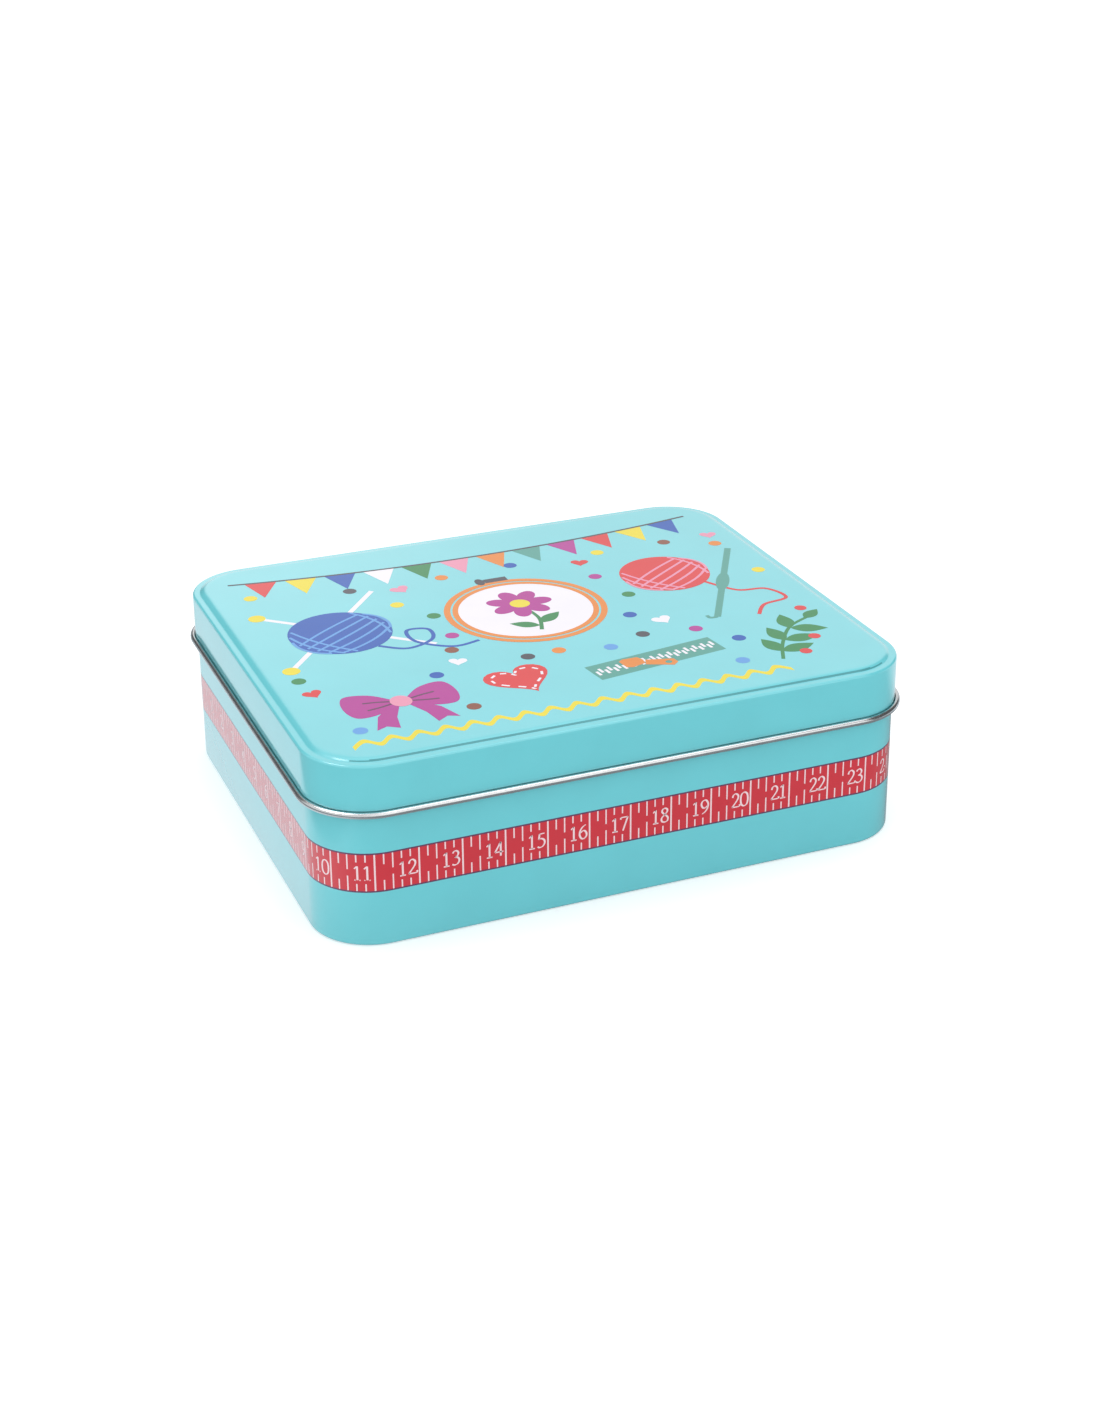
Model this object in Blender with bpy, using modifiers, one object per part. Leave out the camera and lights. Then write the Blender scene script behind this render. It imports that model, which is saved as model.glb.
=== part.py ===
"""Sewing tin: a two-piece tinplate box with a lift-off lid, and the sewing kit that it holds.

Origin: centre of the base, on the surface that the tin stands on. +Z is up, the long side lies along X.
"""

import math

import bmesh
import bpy
from mathutils import Matrix, Vector

MM = 0.001
DEGREE = math.pi / 180
QUARTER = math.pi / 2
TURN = 2 * math.pi

# Tin: outer size of the body, and the tinplate
BODY_LENGTH = 143.6 * MM
BODY_WIDTH = 119.6 * MM
TIN_HEIGHT = 44.6 * MM
CORNER_RADIUS = 14.7 * MM
CORNER_STEPS = 6
ARC_STEPS = 3
SHEET = 0.25 * MM
CLEARANCE = 0.3 * MM

# Body wall: the hem that the tin stands on, and the hem round its mouth
FOOT_RADIUS = 0.8 * MM
FOOT_HEM = 3.4 * MM
MOUTH_RADIUS = 0.6 * MM
MOUTH_HEM = 1.6 * MM
MOUTH_LIP = 0.5 * MM

# Base panel: a shallow tray that sits on the foot hem
BASE_UPSTAND = 2.4 * MM
BASE_RADIUS = 0.6 * MM
BASE_LEDGE = 3.6 * MM
BASE_STEP = 0.6 * MM

# Lid: skirt, rolled bead, and the raised panel with its rim
LID_SKIRT = 10.8 * MM
LID_CLEARANCE = 0.35 * MM
BEAD_RADIUS = 0.75 * MM
BEAD_STEPS = 7
BEAD_CURL = 298 * DEGREE
RIM_INSET = 0.53 * MM
RIM_RISE = 0.66 * MM
LEDGE_END = 1.72 * MM
PANEL_INSET = 3.81 * MM
PANEL_RISE = 1.28 * MM
PANEL_STEPS = 4

# Scissors, closed, measured from the rivet
HANDLE_REACH = 72.3 * MM
HANDLE_SPREAD = 24.8 * MM
HANDLE_START = 13.8 * MM
HANDLE_SPLIT = 0.8 * MM
HANDLE_SHOULDER = 10.2 * MM
HANDLE_THICKNESS = 7.0 * MM
HANDLE_ROUNDING = 1.2 * MM
BLADE_REACH = 42.7 * MM
BLADE_HALF_WIDTH = 6.8 * MM
BLADE_THICKNESS = 1.2 * MM
TANG_LENGTH = 15.0 * MM
TANG_NEAR = 2.3 * MM
TANG_WIDTH = 4.0 * MM
RIVET_RADIUS = 2.0 * MM
RIVET_HEAD_RADIUS = 3.4 * MM
RIVET_HEAD = 0.9 * MM
RIVET_STEPS = 12
OUTLINE_STEPS = 2
SCISSORS_FROM_FRONT = 28.6 * MM

# Finger loop, as shares of HANDLE_REACH along the scissors and of HANDLE_SPREAD across
LOOP_OUTER_SHARES = (
    (0.277, 0.403), (0.365, 0.444), (0.503, 0.710), (0.609, 0.879), (0.747, 1.0), (0.885, 0.927),
    (0.972, 0.677), (1.0, 0.476), (0.972, 0.242), (0.920, 0.101),
)
LOOP_END_SHARE = 0.80
LOOP_HOLE_SHARES = (
    (0.927, 0.476), (0.885, 0.706), (0.781, 0.806), (0.678, 0.746), (0.591, 0.544),
    (0.567, 0.403), (0.609, 0.282), (0.747, 0.226), (0.869, 0.245), (0.920, 0.360),
)

# Blade, as shares of BLADE_REACH along it and of BLADE_HALF_WIDTH across: its back, then its edge
BLADE_BACK_SHARES = ((-1.0, -0.10), (-0.985, -0.34), (-0.47, -0.70), (-0.10, -1.0), (0.09, -0.97))
BLADE_EDGE_SHARES = ((0.10, 1.01), (-0.07, 0.52), (-0.15, 0.22), (-0.985, 0.20))
SHANK_SHARE = 0.87

# Spools of thread, standing in two rows of three
SPOOL_RADIUS = 8.5 * MM
SPOOL_HEIGHT = 22.0 * MM
SPOOL_FLANGE = 1.0 * MM
SPOOL_HUB_RADIUS = 4.6 * MM
SPOOL_BORE_RADIUS = 3.1 * MM
SPOOL_GAP = 0.5 * MM
SPOOL_STEPS = 16
SPOOL_COLUMNS = 3
THREAD_RADIUS = 7.7 * MM
THREAD_CROWN = 0.4 * MM

# Thimble, standing on its open end
THIMBLE_RADIUS = 7.3 * MM
THIMBLE_TOP_RADIUS = 5.4 * MM
THIMBLE_HEIGHT = 14.0 * MM
THIMBLE_WALL = 0.9 * MM
THIMBLE_LIP = 0.6 * MM
THIMBLE_DOME = 1.6 * MM
THIMBLE_STEPS = 16

# Seam ripper, lying on the back row of spools
RIPPER_RADIUS = 4.0 * MM
RIPPER_TAIL_RADIUS = 2.4 * MM
RIPPER_HANDLE = 45.0 * MM
RIPPER_SHANK_RADIUS = 3.0 * MM
RIPPER_SHANK = 5.0 * MM
RIPPER_HOLE_RADIUS = 1.4 * MM
RIPPER_HOLE = 6.3 * MM
RIPPER_STEPS = 12
CAP_WALL = 0.7 * MM
CAP_REACH = 36.0 * MM
FORK_WIDTH = 2.0 * MM
FORK_THICKNESS = 1.0 * MM
FORK_SPREAD = 5.2 * MM
FORK_CROTCH = 14.0 * MM
FORK_LONG_PRONG = 30.0 * MM
FORK_SHORT_PRONG = 21.0 * MM
FORK_PRONG = 1.2 * MM
FORK_BEAD_RADIUS = 0.9 * MM

# Tape measure, rolled up, with a straight tail that ends in its metal clip
TAPE_WIDTH = 11.5 * MM
TAPE_THICKNESS = 0.42 * MM
TAPE_PITCH = 0.87 * MM
TAPE_INNER_RADIUS = 5.4 * MM
TAPE_TURNS = 10
TAPE_POINTS = 22
TAPE_TAIL = 12.0 * MM
CLIP_LENGTH = 5.0 * MM
CLIP_WALL = 0.4 * MM
CLIP_GAP = 0.35 * MM

# Pin wheel: pins laid like spokes on a disc, held down by a ring
PIN_COUNT = 40
PIN_RADIUS = 0.35 * MM
PIN_HEAD_RADIUS = 1.6 * MM
PIN_CIRCLE = 30.6 * MM
PIN_TIP_RADIUS = 9.5 * MM
WHEEL_DISC_RADIUS = 26.5 * MM
WHEEL_DISC_THICKNESS = 0.95 * MM
WHEEL_RING_INNER = 17.0 * MM
WHEEL_RING_OUTER = 21.0 * MM
WHEEL_RING_THICKNESS = 0.4 * MM
WHEEL_STEPS = 28
HEAD_SEGMENTS = 5
HEAD_RINGS = 3

# Needle case: a white tray, a red pad, a fan of needles and the strap over them
CASE_RADIUS = 24.5 * MM
CASE_FLOOR = 0.6 * MM
CASE_RIM = 2.8 * MM
CASE_WALL = 1.0 * MM
CASE_STEPS = 28
PAD_THICKNESS = 0.6 * MM
NEEDLE_COUNT = 14
NEEDLE_RADIUS = 0.35 * MM
NEEDLE_SIDES = 4
NEEDLE_LENGTH = 30.0 * MM
NEEDLE_HEAD_PITCH = 1.3 * MM
NEEDLE_POINT_PITCH = 2.0 * MM
NEEDLE_FORWARD = 2.0 * MM
STRAP_WIDTH = 6.0 * MM
STRAP_THICKNESS = 0.8 * MM
STRAP_OFFSET = 5.0 * MM

# Safety pins: nine of them hang on a tenth
SAFETY_PIN_COUNT = 9
SAFETY_PIN_PITCH = 2.7 * MM
SAFETY_PIN_LEG = 15.5 * MM
SAFETY_WIRE_RADIUS = 0.4 * MM
SAFETY_BEND_RADIUS = 1.8 * MM
SAFETY_BEND_STEPS = 6
SAFETY_CAP_LENGTH = 5.0 * MM
SAFETY_CAP_HEIGHT = 5.2 * MM
SAFETY_CAP_THICKNESS = 1.7 * MM
SAFETY_CAP_ROUNDING = 0.4 * MM
CARRIER_LEG = 27.0 * MM

# Small bag with buttons and press studs
BAG_LENGTH = 34.0 * MM
BAG_WIDTH = 29.0 * MM
BAG_HEIGHT = 6.4 * MM
BAG_FILM = 0.3 * MM
BAG_ROUNDING = 1.5 * MM
BUTTON_RADIUS = 4.9 * MM
BUTTON_HEIGHT = 2.1 * MM
BUTTON_DISH = 0.6 * MM
BUTTON_RIM = 1.1 * MM
BUTTON_HOLE_RADIUS = 0.6 * MM
BUTTON_HOLE_SPREAD = 1.3 * MM
BUTTON_STEPS = 10
BUTTON_ROWS = 3
BUTTON_COLUMNS = 2
BUTTON_GAP = 0.6 * MM
STUD_RADIUS = 3.4 * MM
STUD_HEIGHT = 1.0 * MM
STUD_CROWN_RADIUS = 1.4 * MM
STUD_CROWN = 0.7 * MM
STUD_COUNT = 4

# Room kept between the pieces in the tin
SIDE_ROOM = 0.5 * MM
PIECE_ROOM = 2.0 * MM
OVERRUN = 1.0 * MM
MERGE = 0.01 * MM

# Colours, linear, as a shader takes them
AQUA = (0.16, 0.58, 0.62)
TINPLATE = (0.62, 0.63, 0.65)
STEEL = (0.50, 0.51, 0.53)
RED_PLASTIC = (0.62, 0.06, 0.03)
WHITE_PLASTIC = (0.80, 0.80, 0.82)
CLEAR_PLASTIC = (0.85, 0.87, 0.90)
RED_FOIL = (0.42, 0.03, 0.02)
PINK_TAPE = (0.75, 0.42, 0.50)
DARK_BUTTON = (0.03, 0.02, 0.02)
THREAD_COLOURS = {
    "white": (0.78, 0.79, 0.80),
    "black": (0.02, 0.02, 0.02),
    "coral": (0.80, 0.20, 0.19),
    "blue": (0.04, 0.12, 0.50),
    "olive": (0.26, 0.25, 0.13),
    "yellow": (0.80, 0.40, 0.06),
}

# Heights that follow from the sizes above
WALL_TOP = TIN_HEIGHT - PANEL_RISE
LID_OFFSET = LID_CLEARANCE + SHEET
BEAD_HEIGHT = WALL_TOP - LID_SKIRT
MOUTH_HEIGHT = WALL_TOP + RIM_RISE - SHEET - CLEARANCE
BASE_HEIGHT = SHEET + CLEARANCE
FLOOR = BASE_HEIGHT + BASE_STEP + SHEET
SEAT = FLOOR + CLEARANCE

# Inner faces of the base panel's upstand, which is as far out as a piece in the tin can lie
INNER_X = BODY_LENGTH / 2 - 2 * SHEET - CLEARANCE
INNER_Y = BODY_WIDTH / 2 - 2 * SHEET - CLEARANCE
INNER_CORNER = CORNER_RADIUS - 2 * SHEET - CLEARANCE


def clear_scene():
    """Start from an empty scene."""
    for item in list(bpy.data.objects):
        bpy.data.objects.remove(item, do_unlink=True)


def new_collection(name):
    """A collection in the scene."""
    collection = bpy.data.collections.new(name)
    bpy.context.scene.collection.children.link(collection)
    return collection


def finish(name, colour, roughness, metallic=0.0):
    """A Principled material."""
    material = bpy.data.materials.new(name)
    material.use_nodes = True
    shader = material.node_tree.nodes["Principled BSDF"]
    shader.inputs["Base Color"].default_value = (*colour, 1.0)
    shader.inputs["Roughness"].default_value = roughness
    shader.inputs["Metallic"].default_value = metallic
    return material


def place_object(name, data, material, location=(0, 0, 0), rotation=(0, 0, 0)):
    """An object of the tin. Copies of a piece share their mesh and its material."""
    piece = bpy.data.objects.new(name, data)
    if not data.materials:
        data.materials.append(material)
    piece.location = location
    piece.rotation_euler = rotation
    TIN.objects.link(piece)
    return piece


def new_mesh(name, builder):
    """A mesh from a bmesh, which is freed."""
    mesh = bpy.data.meshes.new(name)
    builder.to_mesh(mesh)
    builder.free()
    return mesh


def round_shading(mesh):
    """Smooth shading with crisp edges."""
    mesh.shade_smooth()
    mesh.set_sharp_from_angle(angle=35 * DEGREE)


def hang_on(piece, empty):
    """Parent a piece to an empty and leave it where it is."""
    piece.parent = empty
    piece.matrix_parent_inverse = Matrix.Translation(empty.location).inverted()


def joint_empty(name, location):
    """An empty on a joint's axis."""
    empty = bpy.data.objects.new(name, None)
    empty.location = location
    TIN.objects.link(empty)
    return empty


def arc(centre, radii, start, end, steps):
    """Points along an elliptical arc, both ends included."""
    points = []
    for step in range(steps + 1):
        angle = start + (end - start) * step / steps
        points.append((centre[0] + radii[0] * math.cos(angle), centre[1] + radii[1] * math.sin(angle)))
    return points


def smooth_path(points, steps, closed):
    """Points along a Catmull-Rom curve through the given ones."""
    count = len(points)
    spans = count if closed else count - 1
    path = []
    for span in range(spans):
        if closed:
            near = [Vector(points[(span + shift) % count]) for shift in (-1, 0, 1, 2)]
        else:
            near = [Vector(points[min(max(span + shift, 0), count - 1)]) for shift in (-1, 0, 1, 2)]
        for step in range(steps):
            t = step / steps
            bend = 2 * near[0] - 5 * near[1] + 4 * near[2] - near[3]
            twist = 3 * (near[1] - near[2]) + near[3] - near[0]
            path.append((2 * near[1] + (near[2] - near[0]) * t + bend * t * t + twist * t * t * t) / 2)
    if not closed:
        path.append(Vector(points[-1]))
    return [tuple(point) for point in path]


def tin_outline(offset, height):
    """A level loop round the tin, offset outwards from the body's outer face."""
    points = []
    radius = CORNER_RADIUS + offset
    for quarter, (side_x, side_y) in enumerate(((1, 1), (-1, 1), (-1, -1), (1, -1))):
        centre_x = side_x * (BODY_LENGTH / 2 - CORNER_RADIUS)
        centre_y = side_y * (BODY_WIDTH / 2 - CORNER_RADIUS)
        for step in range(CORNER_STEPS + 1):
            angle = (quarter + step / CORNER_STEPS) * QUARTER
            points.append((centre_x + radius * math.cos(angle), centre_y + radius * math.sin(angle), height))
    return points


def pressed_sheet(name, profile, panel, material):
    """Tinplate pressed to a profile all round the tin. The profile lists the outer face from the
    bottom up, as (offset, height). With panel, the last loop is filled."""
    builder = bmesh.new()
    loop = [builder.verts.new(place) for place in tin_outline(*profile[0])]
    for index, vert in enumerate(loop):
        builder.edges.new((loop[index - 1], vert))
    for offset, height in profile[1:]:
        edges = [builder.edges.get((loop[index - 1], loop[index])) for index in range(len(loop))]
        grown = bmesh.ops.extrude_edge_only(builder, edges=edges)["geom"]
        fresh = {item for item in grown if isinstance(item, bmesh.types.BMVert)}
        loop = [next(edge.other_vert(vert) for edge in vert.link_edges if edge.other_vert(vert) in fresh)
                for vert in loop]
        for vert, place in zip(loop, tin_outline(offset, height)):
            vert.co = place
    if panel:
        builder.faces.new(loop)
    bmesh.ops.recalc_face_normals(builder, faces=builder.faces)
    wall = max(builder.faces, key=lambda face: abs(face.normal.z) < 0.5 and face.calc_area())
    if wall.normal.dot(wall.calc_center_median()) < 0:
        bmesh.ops.reverse_faces(builder, faces=builder.faces)
    mesh = new_mesh(name, builder)
    round_shading(mesh)
    piece = place_object(name, mesh, material)
    solidify = piece.modifiers.new("sheet", "SOLIDIFY")
    solidify.thickness = SHEET
    solidify.offset = -1.0
    solidify.use_even_offset = True
    return piece


def turned_mesh(name, profile, steps, closed=False):
    """A turned solid. The profile of (radius, height) runs down its outer side."""
    outline = bpy.data.meshes.new(name + "_profile")
    verts = [(radius, 0, height) for radius, height in profile]
    edges = [(index, index + 1) for index in range(len(verts) - 1)]
    if closed:
        edges.append((len(verts) - 1, 0))
    outline.from_pydata(verts, edges, [])
    blank = bpy.data.objects.new(name, outline)
    TIN.objects.link(blank)
    screw = blank.modifiers.new("turn", "SCREW")
    screw.steps = steps
    screw.render_steps = steps
    screw.use_merge_vertices = True
    screw.merge_threshold = MERGE
    return settled_mesh(blank)


def turned(name, profile, steps, material, location=(0, 0, 0), rotation=(0, 0, 0), closed=False):
    """A turned piece, shaded smooth."""
    mesh = turned_mesh(name, profile, steps, closed)
    round_shading(mesh)
    return place_object(name, mesh, material, location, rotation)


def flat_piece(name, loops, thickness, material, location, rounding=0):
    """A flat piece, cut to closed loops of (x, y) and centred on its own level."""
    curve = bpy.data.curves.new(name, "CURVE")
    curve.dimensions = "2D"
    curve.fill_mode = "BOTH"
    curve.extrude = thickness / 2 - rounding
    curve.bevel_depth = rounding
    curve.bevel_resolution = 1
    curve.offset = -rounding
    for loop in loops:
        spline = curve.splines.new("POLY")
        spline.points.add(len(loop) - 1)
        for point, (x, y) in zip(spline.points, loop):
            point.co = (x, y, 0, 1)
        spline.use_cyclic_u = True
    outline = bpy.data.objects.new(name, curve)
    TIN.objects.link(outline)
    return place_object(name, settled_mesh(outline), material, location)


def box_mesh(name, sizes, centres):
    """Blocks of one size at each centre."""
    builder = bmesh.new()
    for centre in centres:
        matrix = Matrix.Translation(centre) @ Matrix.Diagonal((*sizes, 1))
        bmesh.ops.create_cube(builder, size=1, matrix=matrix)
    return new_mesh(name, builder)


def cutter_from(name, mesh, location=(0, 0, 0), rotation=(0, 0, 0)):
    """A guide that cuts and isn't part of the tin."""
    cutter = bpy.data.objects.new(name, mesh)
    cutter.location = location
    cutter.rotation_euler = rotation
    cutter.hide_render = True
    cutter.display_type = "WIRE"
    CUTTERS.objects.link(cutter)
    return cutter


def cut(piece, cutter):
    """Take the cutter's shape away from a piece."""
    boolean = piece.modifiers.new("cut", "BOOLEAN")
    boolean.operation = "DIFFERENCE"
    boolean.solver = "EXACT"
    boolean.object = cutter


def rod_mesh(name, radius, segments, ends):
    """Straight rods, one solid from each start to its end."""
    builder = bmesh.new()
    for start, end in ends:
        along = Vector(end) - Vector(start)
        middle = (Vector(start) + Vector(end)) / 2
        turn = along.to_track_quat("Z", "Y").to_matrix().to_4x4()
        matrix = Matrix.Translation(middle) @ turn
        bmesh.ops.create_cone(builder, cap_ends=True, segments=segments, radius1=radius, radius2=radius,
                              depth=along.length, matrix=matrix)
    return new_mesh(name, builder)


def settled_mesh(piece):
    """A piece's mesh as its modifiers leave it. The piece itself is removed."""
    bpy.context.view_layer.update()
    mesh = bpy.data.meshes.new_from_object(piece.evaluated_get(bpy.context.evaluated_depsgraph_get()))
    mesh.name = piece.name + "_mesh"
    bpy.data.objects.remove(piece, do_unlink=True)
    builder = bmesh.new()
    builder.from_mesh(mesh)
    bmesh.ops.remove_doubles(builder, verts=builder.verts, dist=MERGE)
    builder.to_mesh(mesh)
    builder.free()
    mesh.materials.clear()
    return mesh


def joined_mesh(name, first, second):
    """One solid from two that overlap."""
    piece = bpy.data.objects.new(name, first)
    guide = bpy.data.objects.new(name + "_guide", second)
    TIN.objects.link(piece)
    CUTTERS.objects.link(guide)
    boolean = piece.modifiers.new("join", "BOOLEAN")
    boolean.operation = "UNION"
    boolean.solver = "EXACT"
    boolean.object = guide
    mesh = settled_mesh(piece)
    bpy.data.objects.remove(guide, do_unlink=True)
    return mesh


def spin_into(builder, profile, steps, matrix):
    """Add a turned solid to a bmesh. The profile of (radius, height) starts and ends on the axis."""
    before = set(builder.verts)
    verts = [builder.verts.new((radius, 0, height)) for radius, height in profile]
    edges = [builder.edges.new(pair) for pair in zip(verts, verts[1:])]
    bmesh.ops.spin(builder, geom=verts + edges, cent=(0, 0, 0), axis=(0, 0, 1), angle=TURN, steps=steps,
                   use_merge=True, use_duplicate=False)
    made = [vert for vert in builder.verts if vert not in before]
    bmesh.ops.transform(builder, matrix=matrix, verts=made)


def build_body_wall():
    """The body's wall, folded in at the foot and hemmed in at the mouth."""
    foot = arc((-FOOT_RADIUS, FOOT_RADIUS), (FOOT_RADIUS, FOOT_RADIUS), -QUARTER, 0, ARC_STEPS)
    mouth = arc((-MOUTH_RADIUS, MOUTH_HEIGHT - MOUTH_RADIUS), (MOUTH_RADIUS, MOUTH_RADIUS), 0, QUARTER,
                ARC_STEPS)
    lip = arc((-MOUTH_HEM, MOUTH_HEIGHT - MOUTH_LIP), (MOUTH_LIP, MOUTH_LIP), QUARTER, 2 * QUARTER, ARC_STEPS)
    profile = [(-FOOT_HEM, 0)] + foot + mouth + lip
    pressed_sheet("body_wall", profile, False, finish("lacquered_wall", AQUA, 0.3))


def build_base_panel():
    """The base, a shallow tray that the foot hem carries."""
    edge = -SHEET - CLEARANCE
    corner = arc((edge - BASE_RADIUS, BASE_HEIGHT + BASE_RADIUS), (BASE_RADIUS, BASE_RADIUS), 0, -QUARTER,
                 ARC_STEPS)
    ledge = edge - BASE_LEDGE
    profile = [(edge, BASE_HEIGHT + BASE_UPSTAND)] + corner
    profile += [(ledge, BASE_HEIGHT), (ledge - BASE_STEP, BASE_HEIGHT + BASE_STEP)]
    pressed_sheet("base_panel", profile, True, finish("bare_tinplate", TINPLATE, 0.3, 1.0))


def build_lid():
    """The lid in one pressing: rolled bead, skirt, rim and raised panel."""
    curl = BEAD_RADIUS - SHEET
    bead = arc((LID_OFFSET + curl, BEAD_HEIGHT), (curl, curl), BEAD_CURL - 2 * QUARTER, -2 * QUARTER,
               BEAD_STEPS)
    rim = arc((LID_OFFSET - RIM_INSET, WALL_TOP), (RIM_INSET, RIM_RISE), 0, QUARTER, ARC_STEPS)
    step = []
    for index in range(PANEL_STEPS + 1):
        share = index / PANEL_STEPS
        rise = (1 - math.cos(share * math.pi)) / 2
        step.append((LID_OFFSET - LEDGE_END - (PANEL_INSET - LEDGE_END) * share,
                     WALL_TOP + RIM_RISE + (PANEL_RISE - RIM_RISE) * rise))
    lid = pressed_sheet("lid", bead + rim + step, True, finish("lacquered_lid", AQUA, 0.25))
    hang_on(lid, joint_empty("lid_lift", (0, 0, BEAD_HEIGHT)))


def handle_loops(side):
    """Outer edge and finger hole of one scissors handle."""
    outer = [(HANDLE_START, HANDLE_SHOULDER)]
    outer += [(along * HANDLE_REACH, across * HANDLE_SPREAD) for along, across in LOOP_OUTER_SHARES]
    outer.append((LOOP_END_SHARE * HANDLE_REACH, HANDLE_SPLIT))
    outer = smooth_path(outer, OUTLINE_STEPS, closed=False)
    outer.append((HANDLE_START, HANDLE_SPLIT))
    hole = [(along * HANDLE_REACH, across * HANDLE_SPREAD) for along, across in LOOP_HOLE_SHARES]
    hole = smooth_path(hole, OUTLINE_STEPS, closed=True)
    return [[(x, side * y) for x, y in loop] for loop in (outer, hole)]


def blade_loop(side):
    """Outline of one blade with its shank and tang. Its handle lies on the given side."""
    back = [(along * BLADE_REACH, across * BLADE_HALF_WIDTH) for along, across in BLADE_BACK_SHARES]
    edge = [(along * BLADE_REACH, across * BLADE_HALF_WIDTH) for along, across in BLADE_EDGE_SHARES]
    shank = SHANK_SHARE * HANDLE_START
    far = TANG_NEAR + TANG_WIDTH
    tang_end = HANDLE_START + TANG_LENGTH
    tang = [(shank, TANG_NEAR), (tang_end, TANG_NEAR), (tang_end, far), (shank, far)]
    return [[(x, side * y) for x, y in back + tang + edge]]


def build_scissors():
    """Scissors, closed, with the rivet that they turn on."""
    pivot = Vector((SCISSORS_X, SCISSORS_Y, SCISSORS_LEVEL))
    turning = joint_empty("scissors_pivot", pivot)
    layer = (CLEARANCE + BLADE_THICKNESS) / 2
    hole = rod_mesh("rivet_hole", RIVET_RADIUS + CLEARANCE, RIVET_STEPS,
                    [((0, 0, -HANDLE_THICKNESS), (0, 0, HANDLE_THICKNESS))])
    hole_cutter = cutter_from("rivet_hole_cutter", hole, pivot)
    pocket_length = TANG_LENGTH + CLEARANCE + OVERRUN
    pocket_sizes = (pocket_length, TANG_WIDTH + 2 * CLEARANCE, BLADE_THICKNESS + 2 * CLEARANCE)
    for name, side in (("lower", -1), ("upper", 1)):
        steel = finish(name + "_blade_steel", STEEL, 0.25, 1.0)
        plastic = finish(name + "_handle_plastic", RED_PLASTIC, 0.35)
        level = pivot + Vector((0, 0, side * layer))
        blade = flat_piece("scissors_blade_" + name, blade_loop(side), BLADE_THICKNESS, steel, level)
        cut(blade, hole_cutter)
        handle = flat_piece("scissors_handle_" + name, handle_loops(side), HANDLE_THICKNESS, plastic, pivot,
                            HANDLE_ROUNDING)
        middle = Vector((HANDLE_START - OVERRUN + pocket_length / 2, side * (TANG_NEAR + TANG_WIDTH / 2),
                         side * layer))
        pocket = box_mesh("tang_pocket_" + name, pocket_sizes, [middle])
        cut(handle, cutter_from("tang_pocket_cutter_" + name, pocket, pivot))
        if name == "upper":
            hang_on(blade, turning)
            hang_on(handle, turning)
    top = 1.5 * CLEARANCE + BLADE_THICKNESS
    head = arc((0, top), (RIVET_HEAD_RADIUS, RIVET_HEAD), QUARTER, 0, ARC_STEPS)
    lower_head = [(radius, -height) for radius, height in reversed(head)]
    profile = head + [(RIVET_RADIUS, top), (RIVET_RADIUS, -top)] + lower_head
    turned("scissors_rivet", profile, RIVET_STEPS, finish("rivet_steel", STEEL, 0.3, 1.0), pivot)


def build_spools():
    """Six spools, each a flanged core with a bore and its wound thread."""
    top = SPOOL_HEIGHT
    core = [
        (SPOOL_RADIUS, top), (SPOOL_RADIUS, top - SPOOL_FLANGE), (SPOOL_HUB_RADIUS, top - SPOOL_FLANGE),
        (SPOOL_HUB_RADIUS, SPOOL_FLANGE), (SPOOL_RADIUS, SPOOL_FLANGE), (SPOOL_RADIUS, 0),
        (SPOOL_BORE_RADIUS, 0), (SPOOL_BORE_RADIUS, top),
    ]
    low = SPOOL_FLANGE + CLEARANCE
    inner = SPOOL_HUB_RADIUS + CLEARANCE
    thread = [
        (THREAD_RADIUS, top - low), (THREAD_RADIUS + THREAD_CROWN, top / 2), (THREAD_RADIUS, low),
        (inner, low), (inner, top - low),
    ]
    pitch = 2 * SPOOL_RADIUS + SPOOL_GAP
    for index, (colour_name, colour) in enumerate(THREAD_COLOURS.items()):
        row, column = divmod(index, SPOOL_COLUMNS)
        place = (SPOOL_X - column * pitch, SPOOL_Y - row * pitch, SEAT)
        plastic = finish("spool_" + colour_name, WHITE_PLASTIC, 0.4)
        cotton = finish("thread_" + colour_name, colour, 0.6)
        turned("spool_core_" + colour_name, core, SPOOL_STEPS, plastic, place, closed=True)
        turned("spool_thread_" + colour_name, thread, SPOOL_STEPS, cotton, place, closed=True)


def build_thimble():
    """A thimble, open end down."""
    shoulder = THIMBLE_HEIGHT - THIMBLE_DOME
    outside = arc((0, shoulder), (THIMBLE_TOP_RADIUS, THIMBLE_DOME), QUARTER, 0, ARC_STEPS)
    lip_top = THIMBLE_RADIUS - THIMBLE_LIP
    outside += [(lip_top, 2 * THIMBLE_LIP), (THIMBLE_RADIUS, 2 * THIMBLE_LIP), (THIMBLE_RADIUS, 0)]
    inside_top = (THIMBLE_TOP_RADIUS - THIMBLE_WALL, THIMBLE_DOME - THIMBLE_WALL / 2)
    inside = [(lip_top - THIMBLE_WALL, 0)]
    inside += arc((0, shoulder - THIMBLE_WALL / 2), inside_top, 0, QUARTER, ARC_STEPS)
    turned("thimble", outside + inside, THIMBLE_STEPS, finish("thimble_plastic", RED_PLASTIC, 0.4),
           (THIMBLE_X, THIMBLE_Y, SEAT))


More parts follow.
